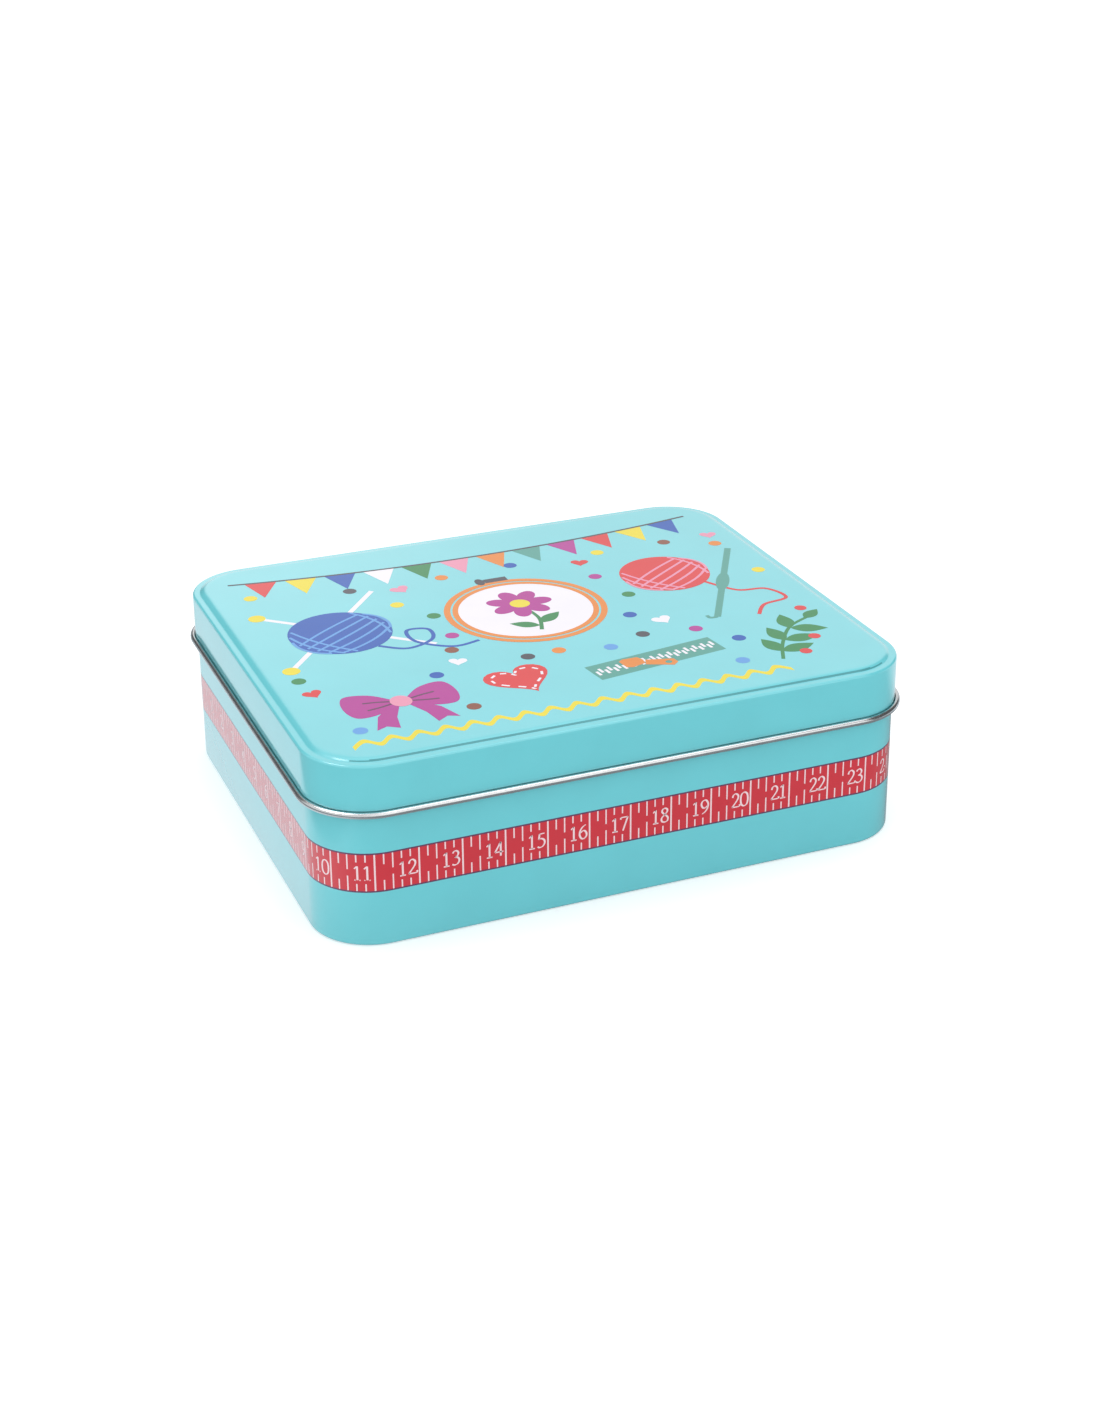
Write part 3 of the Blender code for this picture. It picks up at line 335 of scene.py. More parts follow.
def soft_edge(tree, place, way, start, end, low=0.0, high=1.0):
    """A soft step from low to high, between a start and an end along a way."""
    along = node(tree, "VectorMath", {0: place, 1: way}, "Value", operation="DOT_PRODUCT")
    return spread(tree, along, start, end, low, high, "SMOOTHSTEP")


def ramp(tree, amount, start, dark, end, light):
    """A colour that goes from one to another between two amounts."""
    colour = node(tree, "ValToRGB", {"Fac": amount}, "Color")
    for element, place, tone in zip(colour.node.color_ramp.elements, (start, end), (dark, light)):
        element.position = place
        element.color = (*tone, 1)
    return colour


def grain(tree, size, stretch=(1, 1, 1), detail=3.0, along=None):
    """Noise with features of about this size in metres, fixed to the piece or on given coordinates."""
    scale = [1 / (size * part) for part in stretch]
    place = node(tree, "Mapping", {"Vector": along or own_place(tree), "Scale": scale})
    return node(tree, "TexNoise", {"Vector": place, "Scale": 1, "Detail": detail}, "Fac")


def round_and_up(tree, x, y, radius):
    """Coordinates for a wound piece, in metres: round its upright axis, and up."""
    centred = node(tree, "Mapping", {"Vector": own_place(tree), "Location": (-x * MM, -y * MM, 0)})
    split = node(tree, "SeparateXYZ", {"Vector": centred}).node.outputs
    angle = maths(tree, "ARCTAN2", split["Y"], split["X"])
    return node(tree, "CombineXYZ", {"X": maths(tree, "MULTIPLY", angle, radius * MM), "Y": split["Z"]})


# Finishes

COAT_ROUGHNESS = 0.06
OFTEN, SELDOM = 0.3, 0.7


def new_finish(name, colour, roughness, metal=0.0, coat=0.0, specular=0.5):
    """A Principled material, its shader and its node tree."""
    finish = bpy.data.materials.new(name)
    finish.use_nodes = True
    shader = finish.node_tree.nodes["Principled BSDF"]
    values = {"Base Color": (*colour, 1), "Roughness": roughness, "Metallic": metal, "Coat Weight": coat,
              "Coat Roughness": COAT_ROUGHNESS, "Specular IOR Level": specular}
    for socket, value in values.items():
        shader.inputs[socket].default_value = value
    return finish, shader, finish.node_tree


def tint(tree, shader, amount, dark, light):
    """Let the colour wander between two shades."""
    tree.links.new(ramp(tree, amount, OFTEN, dark, SELDOM, light), shader.inputs["Base Color"])


def polish(tree, shader, amount, low, high):
    """Let the roughness wander between two values."""
    tree.links.new(spread(tree, amount, OFTEN, SELDOM, low, high), shader.inputs["Roughness"])


def emboss(tree, shader, height, depth, strength=1.0):
    """Raise the surface by up to this depth in metres."""
    bump = node(tree, "Bump", {"Strength": strength, "Distance": depth, "Height": height})
    tree.links.new(bump, shader.inputs["Normal"])


def shade(colour, factor):
    """A colour made lighter or darker."""
    return tuple(min(1.0, part * factor) for part in colour)


def lacquer(name, colour, gloss=1.0):
    """Ink and clear lacquer, baked on tinplate."""
    finish, shader, tree = new_finish(name, colour, 0.16, coat=gloss, specular=0.3 + 0.2 * gloss)
    tint(tree, shader, grain(tree, 14 * MM), shade(colour, 0.98), shade(colour, 1.02))
    polish(tree, shader, grain(tree, 2.2 * MM), 0.12, 0.2)
    emboss(tree, shader, grain(tree, 1.8 * MM, detail=2), 0.0002 * MM)
    return finish


def tinplate(name):
    """Bare tinplate with its fine rolling lines."""
    finish, shader, tree = new_finish(name, (0.70, 0.71, 0.72), 0.22, metal=1.0)
    tint(tree, shader, grain(tree, 3 * MM), (0.66, 0.67, 0.68), (0.74, 0.75, 0.76))
    polish(tree, shader, grain(tree, 0.5 * MM, (14, 1, 1)), 0.18, 0.26)
    emboss(tree, shader, grain(tree, 0.3 * MM, (30, 1, 1)), 0.0004 * MM)
    return finish


def steel(name, size, stretch, tone):
    """Ground or drawn steel."""
    colour = (tone, tone * 1.01, tone * 1.03)
    finish, shader, tree = new_finish(name, colour, 0.22, metal=1.0)
    tint(tree, shader, grain(tree, 4 * MM), shade(colour, 0.9), shade(colour, 1.1))
    polish(tree, shader, grain(tree, size * MM, stretch), 0.16, 0.3)
    emboss(tree, shader, grain(tree, size * MM, stretch), 0.004 * MM)
    return finish


def plastic(name, colour, roughness):
    """Moulded plastic with a fine skin."""
    finish, shader, tree = new_finish(name, colour, roughness)
    tint(tree, shader, grain(tree, 6 * MM), shade(colour, 0.95), shade(colour, 1.05))
    polish(tree, shader, grain(tree, 0.8 * MM), roughness - 0.07, roughness + 0.09)
    emboss(tree, shader, grain(tree, 0.3 * MM, detail=2), 0.0025 * MM)
    return finish


def cotton(name, colour, x, y):
    """Glossy sewing thread wound round a spool at x, y."""
    finish, shader, tree = new_finish(name, colour, 0.45)
    shader.inputs["Sheen Weight"].default_value = 0.25
    around = round_and_up(tree, x, y, 7.8)
    tint(tree, shader, grain(tree, 0.16 * MM, (14, 1, 1), along=around), shade(colour, 0.8), shade(colour, 1.18))
    polish(tree, shader, grain(tree, 0.5 * MM, (5, 1, 1), along=around), 0.36, 0.56)
    emboss(tree, shader, grain(tree, 0.09 * MM, (2.4, 1, 1), along=around), 0.03 * MM)
    return finish


def woven_tape(name, colour):
    """Coated cloth tape with its fine weave."""
    finish, shader, tree = new_finish(name, colour, 0.5)
    tint(tree, shader, grain(tree, 2.5 * MM), shade(colour, 0.94), shade(colour, 1.05))
    polish(tree, shader, grain(tree, 0.4 * MM), 0.42, 0.58)
    emboss(tree, shader, grain(tree, 0.14 * MM, (1, 1, 1.6), detail=2), 0.02 * MM)
    return finish


def foil(name, colour, metal):
    """Foil pressed with a fine diamond pattern."""
    diamond = 0.9 * MM
    finish, shader, tree = new_finish(name, colour, 0.34, metal=metal)
    tint(tree, shader, grain(tree, 5 * MM), shade(colour, 0.88), shade(colour, 1.14))
    polish(tree, shader, grain(tree, 1.2 * MM), 0.28, 0.42)
    aslant = node(tree, "Mapping", {"Vector": own_place(tree), "Rotation": (0, 0, 45 * DEGREE),
                                    "Scale": [1 / diamond] * 3})
    cells = node(tree, "TexVoronoi", {"Vector": aslant, "Scale": 1, "Randomness": 0}, "Distance",
                 distance="CHEBYCHEV")
    emboss(tree, shader, cells, 0.08 * MM, 0.7)
    return finish


def clear_plastic(name, colour):
    """Clear moulded plastic."""
    finish, shader, tree = new_finish(name, colour, 0.06)
    shader.inputs["Transmission Weight"].default_value = 0.9
    shader.inputs["IOR"].default_value = 1.46
    polish(tree, shader, grain(tree, 3 * MM), 0.06, 0.12)
    emboss(tree, shader, grain(tree, 2 * MM, detail=1), 0.004 * MM)
    return finish


def thin_film(name, colour):
    """Thin clear film with fine creases."""
    finish, shader, tree = new_finish(name, colour, 0.14)
    polish(tree, shader, grain(tree, 3 * MM), 0.09, 0.2)
    emboss(tree, shader, grain(tree, 3.2 * MM, detail=4), 0.5 * MM)
    facing = node(tree, "LayerWeight", {"Blend": 0.35}, "Facing")
    tree.links.new(spread(tree, facing, 0, 1, 0.1, 0.55), shader.inputs["Alpha"])
    return finish


# Stage, light and camera

def build_stage():
    """A white floor that keeps the tin's soft shadow. Gloss sees it darker in front and far to the left."""
    lay_aside()
    bpy.ops.mesh.primitive_plane_add(size=FLOOR_SIZE)
    floor = bpy.context.object
    floor.name = "floor"
    finish = bpy.data.materials.new("white_floor")
    finish.use_nodes = True
    tree = finish.node_tree
    tree.nodes.clear()
    rays = node(tree, "LightPath", {}).node.outputs
    glow = node(tree, "Emission", {"Strength": maths(tree, "MULTIPLY", rays["Is Camera Ray"], FLOOR_GLOW)})
    seen = node(tree, "AddShader", {0: node(tree, "BsdfDiffuse", {"Color": FLOOR_WHITE}), 1: glow})

    place = own_place(tree)
    behind, near, right = (soft_edge(tree, place, *step) for step in (FLOOR_BEHIND, FLOOR_NEAR, FLOOR_RIGHT))
    bright = maths(tree, "MAXIMUM", maths(tree, "MULTIPLY", behind, near), right)
    mirrored = node(tree, "Emission", {"Color": FLOOR_MIRRORED,
                                       "Strength": spread(tree, bright, 0, 1, FLOOR_DARK, FLOOR_BRIGHT)})
    choice = node(tree, "MixShader", {"Fac": rays["Is Glossy Ray"], 1: seen, 2: mirrored})
    node(tree, "OutputMaterial", {"Surface": choice})
    paint(floor, finish)


def build_light():
    """Soft studio light all round, and what the gloss mirrors of it."""
    world = bpy.data.worlds.new("studio")
    bpy.context.scene.world = world
    world.use_nodes = True
    tree = world.node_tree
    tree.nodes.clear()
    place = node(tree, "TexCoord", {}, "Generated")
    way, *edges = DARK_FLAG
    flag = soft_edge(tree, place, Vector(way).normalized(), *edges)
    level = maths(tree, "MULTIPLY", flag, soft_edge(tree, place, *STUDIO_FRONT))
    for way, outer, inner, strength in STUDIO_PATCHES:
        lamp = soft_edge(tree, place, Vector(way).normalized(), math.cos(outer * DEGREE), math.cos(inner * DEGREE),
                         0, strength)
        level = maths(tree, "ADD", lamp, level)
    level = maths(tree, "MAXIMUM", level, LEAST_MIRRORED)
    height = node(tree, "SeparateXYZ", {"Vector": place}, "Z")
    tone = ramp(tree, height, *OVERHEAD)
    soft = node(tree, "Background", {"Color": WHITE_LIGHT, "Strength": STUDIO_LEVEL})
    seen = node(tree, "Background", {"Color": WHITE_LIGHT, "Strength": 1.0})
    mirrored = node(tree, "Background", {"Color": tone, "Strength": level})
    rays = node(tree, "LightPath", {}).node.outputs
    lit = node(tree, "MixShader", {"Fac": rays["Is Glossy Ray"], 1: soft, 2: mirrored})
    choice = node(tree, "MixShader", {"Fac": rays["Is Camera Ray"], 1: lit, 2: seen})
    node(tree, "OutputWorld", {"Surface": choice})

    lay_aside()
    bpy.ops.object.light_add(type="AREA", location=SOFTBOX_PLACE)
    key = bpy.context.object
    key.name = "softbox"
    key.data.shape = "SQUARE"
    key.data.size = SOFTBOX_SIZE
    key.data.energy = SOFTBOX_WATTS


def build_camera():
    """The camera, where the photograph was taken from."""
    level = math.cos(CAMERA_TILT)
    ahead = Vector((math.sin(CAMERA_ACROSS) * level, math.cos(CAMERA_ACROSS) * level, -math.sin(CAMERA_TILT)))
    right = ahead.cross(Vector((0, 0, 1))).normalized()
    up = right.cross(ahead)
    side = math.cos(CAMERA_ROLL) * right + math.sin(CAMERA_ROLL) * up
    head = -math.sin(CAMERA_ROLL) * right + math.cos(CAMERA_ROLL) * up
    away = Vector(CAMERA_AWAY) * MM
    place = -(side * away.x - head * away.y + ahead * away.z)
    data = bpy.data.cameras.new("camera")
    data.sensor_width = CAMERA_SENSOR
    data.lens = CAMERA_LENS
    data.shift_x, data.shift_y = CAMERA_SHIFT
    data.clip_start = 0.01
    camera = hang("camera", data)
    camera.matrix_world = Matrix((
        (side.x, head.x, -ahead.x, place.x), (side.y, head.y, -ahead.y, place.y),
        (side.z, head.z, -ahead.z, place.z), (0, 0, 0, 1),
    ))
    bpy.context.scene.camera = camera


# Tin

def rounded_block(name, half_x, half_y, low, high, corner):
    """A closed block with its upright edges rounded, left open for editing."""
    lay_aside()
    middle = (0, 0, (low + high) / 2)
    bpy.ops.mesh.primitive_cube_add(size=2, location=middle, scale=(half_x, half_y, (high - low) / 2))
    shell = new_piece(name)
    edit(shell, "EDGE")
    pick(shell, lambda edge: abs(edge.verts[0].co.z - edge.verts[1].co.z) > (high - low) / 2, "EDGE")
    bpy.ops.mesh.bevel(offset=corner, segments=CORNER_STEPS, profile=0.5, affect="EDGES")
    return shell


def press(steps):
    """Press the picked face in and up, step by step."""
    for inward, upward in steps:
        bpy.ops.mesh.inset(thickness=inward, depth=upward, use_even_offset=True)


def round_over(inward, upward, count, sink=False):
    """Steps of a quarter round, from upright to level. With sink, from level to upright."""
    turns = [QUARTER * (count - index if sink else index) / count for index in range(count + 1)]
    return [(inward * abs(math.cos(a) - math.cos(b)), upward * (math.sin(b) - math.sin(a)))
            for a, b in zip(turns, turns[1:])]


def climb(runs, rise):
    """Steps of a profile given as (how far in, slope in degrees), fitted to the whole rise."""
    steps = [(inward * MM, inward * MM * math.tan(slope * DEGREE)) for inward, slope in runs]
    share = rise / sum(upward for inward, upward in steps)
    return [(inward, upward * share) for inward, upward in steps]


def build_lid():
    """The lid's skirt, rim and raised panel, lacquered outside, with painted shade in a band above the bead and on
    the step's steep front faces.
    """
    lid = rounded_block("lid_shell", BODY_HALF_X + LID_OUT, BODY_HALF_Y + LID_OUT, SKIRT_FOOT, SKIRT_TOP,
                        BODY_CORNER + LID_OUT)
    pick(lid, lambda face: face.normal.z > 0.9)
    press(round_over(RIM_IN, RIM_RISE, 6))
    press([(LEDGE / 2, 0)] * 2)
    press(climb(STEP_RUNS, STEP_RISE))
    press([(inward, 0) for inward in PANEL_LOOPS])
    pick(lid, lambda face: face.normal.z < -0.9)
    bpy.ops.mesh.delete(type="FACE")
    pick_all()
    bpy.ops.mesh.bisect(plane_co=(0, 0, SHADE_BAND_TOP), plane_no=(0, 0, 1))
    paint(lid, AQUA_LACQUER, TINPLATE, PAINTED_SHADE_LACQUER, TINPLATE)

    # Painted shade: a darker lacquer goes on the skirt just above the bead and on the steep step faces that face
    # the front.
    def in_shade(face):
        height = face.calc_center_median().z
        on_step = height > SKIRT_TOP + RIM_RISE and face.normal.z < STEEP
        return height < SHADE_BAND_TOP or on_step and face.normal.y < TO_THE_FRONT

    pick(lid, in_shade)
    lid.active_material_index = lid.data.materials.find(PAINTED_SHADE_LACQUER.name)
    bpy.ops.object.material_slot_assign()
    close()
    thicken(lid, SHEET, inner=True)
    smooth(lid, 40)
    on_body(lid, "lid", "lacquered_tin", "lid")


def build_bead():
    """The lid's rolled edge: the sheet curled outwards, with its bare side showing."""
    lay_aside()
    half_x, half_y = BODY_HALF_X + BEAD_CENTRE, BODY_HALF_Y + BEAD_CENTRE
    bpy.ops.mesh.primitive_plane_add(size=2, location=(0, 0, SKIRT_FOOT))
    bpy.context.object.scale = (half_x, half_y, 1)
    line = new_piece("lid_bead")
    edit(line, "VERT")
    pick_all()
    bpy.ops.mesh.bevel(offset=BODY_CORNER + BEAD_CENTRE, segments=2 * CORNER_STEPS, profile=0.5, affect="VERTICES")
    pick_all()
    bpy.ops.mesh.delete(type="ONLY_FACE")
    close()
    bpy.ops.object.convert(target="CURVE")

    lay_aside()
    bpy.ops.mesh.primitive_circle_add(vertices=BEAD_STEPS, radius=BEAD_RADIUS)
    curl = bpy.context.object
    edit(curl, "VERT")
    first, last = BEAD_OPENING
    pick(curl, lambda vert: first < math.degrees(math.atan2(vert.co.y, vert.co.x)) < last, "VERT")
    bpy.ops.mesh.delete(type="VERT")
    close()
    bpy.ops.object.convert(target="CURVE")

    line.data.dimensions = "2D"
    line.data.fill_mode = "NONE"
    line.data.bevel_mode = "OBJECT"
    line.data.bevel_object = curl
    bead = into_mesh(line)
    clear_away(curl)
    put(bead, (0, 0, SKIRT_FOOT / MM))
    face_out(bead)
    paint(bead, TINPLATE)
    thicken(bead, SHEET)
    smooth(bead, 50)
    on_body(bead, "lid", "bare_tin")


def build_body():
    """The body's wall with its rounded foot and mouth, lacquered outside."""
    body = rounded_block("body_shell", BODY_HALF_X, BODY_HALF_Y, FOOT_ROUND, MOUTH_TOP - MOUTH_ROUND, BODY_CORNER)
    pick(body, lambda face: face.normal.z > 0.9)
    press(round_over(MOUTH_ROUND, MOUTH_ROUND, 6))
    press([(MOUTH_FLAT, 0)])
    press(round_over(MOUTH_LIP, -MOUTH_LIP, 5, sink=True))
    bpy.ops.mesh.delete(type="FACE")
    pick(body, lambda face: face.normal.z < -0.9)
    press(round_over(FOOT_ROUND, FOOT_ROUND, 8))
    press([((FOOT_HEM - FOOT_ROUND) / 2, 0)] * 2)
    bpy.ops.mesh.delete(type="FACE")
    close()
    paint(body, AQUA_LACQUER, TINPLATE)
    thicken(body, SHEET, inner=True)
    smooth(body, 40)
    on_body(body, "tin", "lacquered_tin", "body_wall")


# The tape printed round the body

STRAIGHT_X, STRAIGHT_Y = BODY_HALF_X - BODY_CORNER, BODY_HALF_Y - BODY_CORNER
CORNER_RUN = BODY_CORNER * QUARTER
WALL_RUNS = (
    ("line", (-BODY_HALF_X, STRAIGHT_Y), (0, -1), 2 * STRAIGHT_Y),
    ("turn", (-STRAIGHT_X, -STRAIGHT_Y), 180 * DEGREE, CORNER_RUN),
    ("line", (-STRAIGHT_X, -BODY_HALF_Y), (1, 0), 2 * STRAIGHT_X),
    ("turn", (STRAIGHT_X, -STRAIGHT_Y), 270 * DEGREE, CORNER_RUN),
    ("line", (BODY_HALF_X, -STRAIGHT_Y), (0, 1), 2 * STRAIGHT_Y),
    ("turn", (STRAIGHT_X, STRAIGHT_Y), 0, CORNER_RUN),
    ("line", (STRAIGHT_X, BODY_HALF_Y), (-1, 0), 2 * STRAIGHT_X),
    ("turn", (-STRAIGHT_X, STRAIGHT_Y), 90 * DEGREE, CORNER_RUN),
)
ROUND_THE_TIN = sum(run[3] for run in WALL_RUNS)


def on_wall(along, proud):
    """The point at a length round the body's wall, from the tape's first line, and proud of the wall."""
    along = (along + FIRST_LINE) % ROUND_THE_TIN
    for kind, start, way, length in WALL_RUNS:
        if along <= length:
            break
        along -= length
    if kind == "line":
        return start[0] + way[0] * along + way[1] * proud, start[1] + way[1] * along - way[0] * proud
    angle = way + along / BODY_CORNER
    reach = BODY_CORNER + proud
    return start[0] + reach * math.cos(angle), start[1] + reach * math.sin(angle)


def lay_ink(name, patches, at, order=1):
    """Flat patches, drawn as (along, height) faces, laid on a surface as one piece of ink."""
    verts, faces = [], []
    for points, sides in patches:
        base = len(verts)
        verts += [(*at(along), height) for along, height in points]
        faces += [[base + corner for corner in side[::order]] for side in sides]
    mesh = bpy.data.meshes.new(name)
    mesh.from_pydata(verts, [], faces)
    return hang(name, mesh)


def wrap_round(name, patches, level, finish):
    """Ink round the body's wall."""
    piece = lay_ink(name, patches, lambda along: on_wall(along, level * INK))
    paint(piece, finish)
    on_body(piece, "tin", "lacquered_tin")


def bar(left, right, low, high):
    """An upright stroke of ink."""
    return [(left, low), (right, low), (right, high), (left, high)], [(0, 1, 2, 3)]


def strip(start, end, low, high, step):
    """A long strip of ink, cut fine enough to follow the corners."""
    count = max(1, math.ceil((end - start) / step))
    points = []
    for index in range(count + 1):
        along = start + (end - start) * index / count
        points += [(along, low), (along, high)]
    return points, [(2 * i, 2 * i + 2, 2 * i + 3, 2 * i + 1) for i in range(count)]


def flowing(points, steps, closed=False):
    """A smooth line through the points."""
    count = len(points)
    path = []
    for span in range(count if closed else count - 1):
        four = [span + shift for shift in (-1, 0, 1, 2)]
        four = [place % count if closed else min(max(place, 0), count - 1) for place in four]
        a, b, c, d = (Vector(points[place]) for place in four)
        for step in range(steps):
            t = step / steps
            path.append((2 * b + (c - a) * t + (2 * a - 5 * b + 4 * c - d) * t * t
                         + (3 * (b - c) + d - a) * t * t * t) / 2)
    path.append(Vector(points[0] if closed else points[-1]))
    return path


def pen_stroke(points, steps, closed):
    """A stroke of a broad pen held aslant: thick where it runs down, thin where it runs across."""
    path = flowing(points, steps, closed)
    nib = Vector((math.cos(PEN_SLANT), math.sin(PEN_SLANT)))
    edge = []
    for index, point in enumerate(path):
        before, after = path[max(index - 1, 0)], path[min(index + 1, len(path) - 1)]
        if closed and index in (0, len(path) - 1):
            before, after = path[-2], path[1]
        way = (after - before).normalized()
        half = (PEN_FINE + (PEN_BROAD - PEN_FINE) * abs(nib.x * way.y - nib.y * way.x)) / 2
        across = Vector((-way.y, way.x)) * half
        edge += [point + across, point - across]
    return edge, [(2 * i, 2 * i + 1, 2 * i + 3, 2 * i + 2) for i in range(len(path) - 1)]


# Figures as pen strokes in a space one high; the second number of each is how finely a stroke is drawn
FIGURES = {
    "0": ([((0.29, 1.0), (0.09, 0.86), (0.03, 0.5), (0.09, 0.14), (0.29, 0.0), (0.49, 0.14), (0.55, 0.5),
            (0.49, 0.86))], 4, True),
    "1": ([((0.27, 0.02), (0.27, 0.98)), ((0.08, 0.80), (0.27, 0.97)), ((0.08, 0.01), (0.46, 0.01))], 1, False),
    "2": ([((0.06, 0.74), (0.12, 0.92), (0.29, 1.0), (0.46, 0.86), (0.45, 0.62), (0.27, 0.34), (0.03, 0.04)),
           ((0.02, 0.04), (0.54, 0.04), (0.57, 0.18))], 4, False),
    "3": ([((0.07, 0.84), (0.16, 0.96), (0.32, 0.98), (0.44, 0.84), (0.39, 0.64), (0.19, 0.54)),
           ((0.19, 0.54), (0.40, 0.50), (0.50, 0.30), (0.40, 0.08), (0.20, 0.0), (0.03, 0.07))], 4, False),
    "4": ([((0.40, 0.0), (0.40, 0.98)), ((0.40, 0.98), (0.02, 0.29)), ((0.02, 0.28), (0.57, 0.28))], 1, False),
    "5": ([((0.50, 0.97), (0.17, 0.95)), ((0.17, 0.95), (0.12, 0.58)),
           ((0.12, 0.58), (0.30, 0.62), (0.48, 0.49), (0.51, 0.27), (0.38, 0.06), (0.18, 0.0), (0.03, 0.07))], 4,
          False),
    "6": ([((0.48, 0.98), (0.26, 0.85), (0.09, 0.60), (0.05, 0.30), (0.16, 0.06), (0.32, 0.0), (0.49, 0.12),
            (0.53, 0.32), (0.43, 0.53), (0.27, 0.57), (0.10, 0.44))], 4, False),
    "7": ([((0.04, 0.82), (0.07, 0.95)), ((0.07, 0.95), (0.54, 0.95)), ((0.54, 0.95), (0.20, 0.0))], 1, False),
    "8": ([((0.29, 1.0), (0.13, 0.92), (0.11, 0.74), (0.29, 0.54), (0.50, 0.32), (0.48, 0.08), (0.29, 0.0),
            (0.09, 0.08), (0.07, 0.32), (0.29, 0.54), (0.46, 0.74), (0.44, 0.92))], 4, True),
    "9": ([((0.10, 0.02), (0.32, 0.15), (0.49, 0.40), (0.53, 0.70), (0.42, 0.94), (0.26, 1.0), (0.09, 0.88),
            (0.05, 0.68), (0.15, 0.47), (0.31, 0.43), (0.48, 0.56))], 4, False),
}
FIGURE_STEP = 0.62
FIGURE_GAP = 0.04


def figure_strokes(text, right, low, height):
    """The strokes of a number that ends at the right and stands on the low line."""
    patches = []
    left = right - height * (FIGURE_STEP * len(text) - FIGURE_GAP)
    for index, sign in enumerate(text):
        strokes, steps, closed = FIGURES[sign]
        for stroke in strokes:
            edge, sides = pen_stroke(stroke, steps, closed)
            shift = left + index * FIGURE_STEP * height
            patches.append(([(shift + x * height, low + y * height) for x, y in edge], sides))
    return patches


def build_tape_band():
    """A tape measure printed all round the body, in centimetres with four marks between."""
    for name, edge, level, finish in (("tape_edges", BAND_EDGE, 1, PLUM_INK), ("tape_ground", 0, 1.6, RED_INK)):
        wrap_round(name, [strip(0, ROUND_THE_TIN, BAND_LOW - edge, BAND_HIGH + edge, BAND_STEP)], level, finish)
    marks, figures = [], []
    low = (BAND_LOW + BAND_HIGH - DIGIT_HEIGHT) / 2
    for centimetre in range(DIVISIONS + 1):
        start = centimetre * CENTIMETRE
        marks.append(bar(start - LINE_HALF, start + LINE_HALF, BAND_LOW, BAND_HIGH))
        if centimetre:
            figures += figure_strokes(str(centimetre), start - FIGURE_BEFORE_LINE, low, DIGIT_HEIGHT)
        if centimetre == DIVISIONS:
            break
        for place, share in MARKS:
            left = start + place * MM - MARK_WIDE / 2
            high = share * (BAND_HIGH - BAND_LOW)
            marks.append(bar(left, left + MARK_WIDE, BAND_LOW, BAND_LOW + high))
            marks.append(bar(left, left + MARK_WIDE, BAND_HIGH - high, BAND_HIGH))
    wrap_round("tape_marks", marks, 2.4, CHALK_INK)
    wrap_round("tape_figures", figures, 2.6, CHALK_INK)


# The print on the lid, drawn in millimetres from the panel's middle

HAIR = 0.05 * INK
HAIRS = 16


def oval(x, y, half, other=None, turn=0.0, steps=40):
    """The edge of a round or oval patch."""
    other = half if other is None else other
    c, s = math.cos(turn), math.sin(turn)
    edge = []
    for index in range(steps):
        angle = TURN * index / steps
        u, v = half * math.cos(angle), other * math.sin(angle)
        edge.append((x + u * c - v * s, y + u * s + v * c))
    return edge


def moved(edge, x, y, turn=0.0, size=1.0):
    """An edge turned, sized and moved."""
    c, s = size * math.cos(turn), size * math.sin(turn)
    return [(x + u * c - v * s, y + u * s + v * c) for u, v in edge]


def thread_line(points, width, steps=8):
    """The edge of a line of even width through the points."""
    path = flowing(points, steps)
    left, right = [], []
    for index, point in enumerate(path):
        way = (path[min(index + 1, len(path) - 1)] - path[max(index - 1, 0)]).normalized()
        across = Vector((-way.y, way.x)) * width / 2
        left.append(tuple(point + across))
        right.append(tuple(point - across))
    return left + right[::-1]


def heart(x, y, size, turn=0.0, steps=36):
    """The edge of a heart, size wide."""
    edge = []
    for index in range(steps):
        angle = TURN * index / steps
        u = 16 * math.sin(angle) ** 3
        v = 13 * math.cos(angle) - 5 * math.cos(2 * angle) - 2 * math.cos(3 * angle) - math.cos(4 * angle)
        edge.append((u / 32, (v + 2) / 32))
    return moved(edge, x, y, turn, size)


def leaf(x, y, length, width, turn):
    """The edge of a leaf that grows from a point."""
    top = [(length * t, width * math.sin(math.pi * t ** 0.85) / 2) for t in (i / 12 for i in range(13))]
    low = [(u, -v) for u, v in top[1:-1]]
    return moved(top + low[::-1], x, y, turn)


def draw_edges(name, loops):
    """A flat curve through closed loops in millimetres: an edge, and the edges of its holes."""
    stencil = bpy.data.curves.new(name, "CURVE")
    stencil.dimensions = "2D"
    stencil.fill_mode = "BOTH"
    for loop in loops:
        edge = stencil.splines.new("POLY")
        edge.points.add(len(loop) - 1)
        edge.use_cyclic_u = True
        for point, (x, y) in zip(edge.points, loop):
            point.co = (x * MM, y * MM, 0, 1)
    return hang(name, stencil)


def print_on_lid(name, ink, level, shapes):
    """Ink of one colour on the raised panel, each shape a hair above the one before."""
    lay_aside()
    pieces = [draw_edges(name, loops) for loops in shapes]
    for index, piece in enumerate(pieces):
        piece.location.z = index % HAIRS * HAIR
        piece.select_set(True)
    bpy.context.view_layer.objects.active = pieces[0]
    bpy.ops.object.convert(target="MESH")
    bpy.ops.object.join()
    printed = bpy.context.object
    printed.name = name
    put(printed, (0, 0, (PANEL_TOP + level * INK) / MM))
    edit(printed)
    pick(printed, lambda face: face.normal.z < 0)
    bpy.ops.mesh.flip_normals()
    close()
    paint(printed, INKS[ink])
    on_body(printed, "lid", "lacquered_tin")


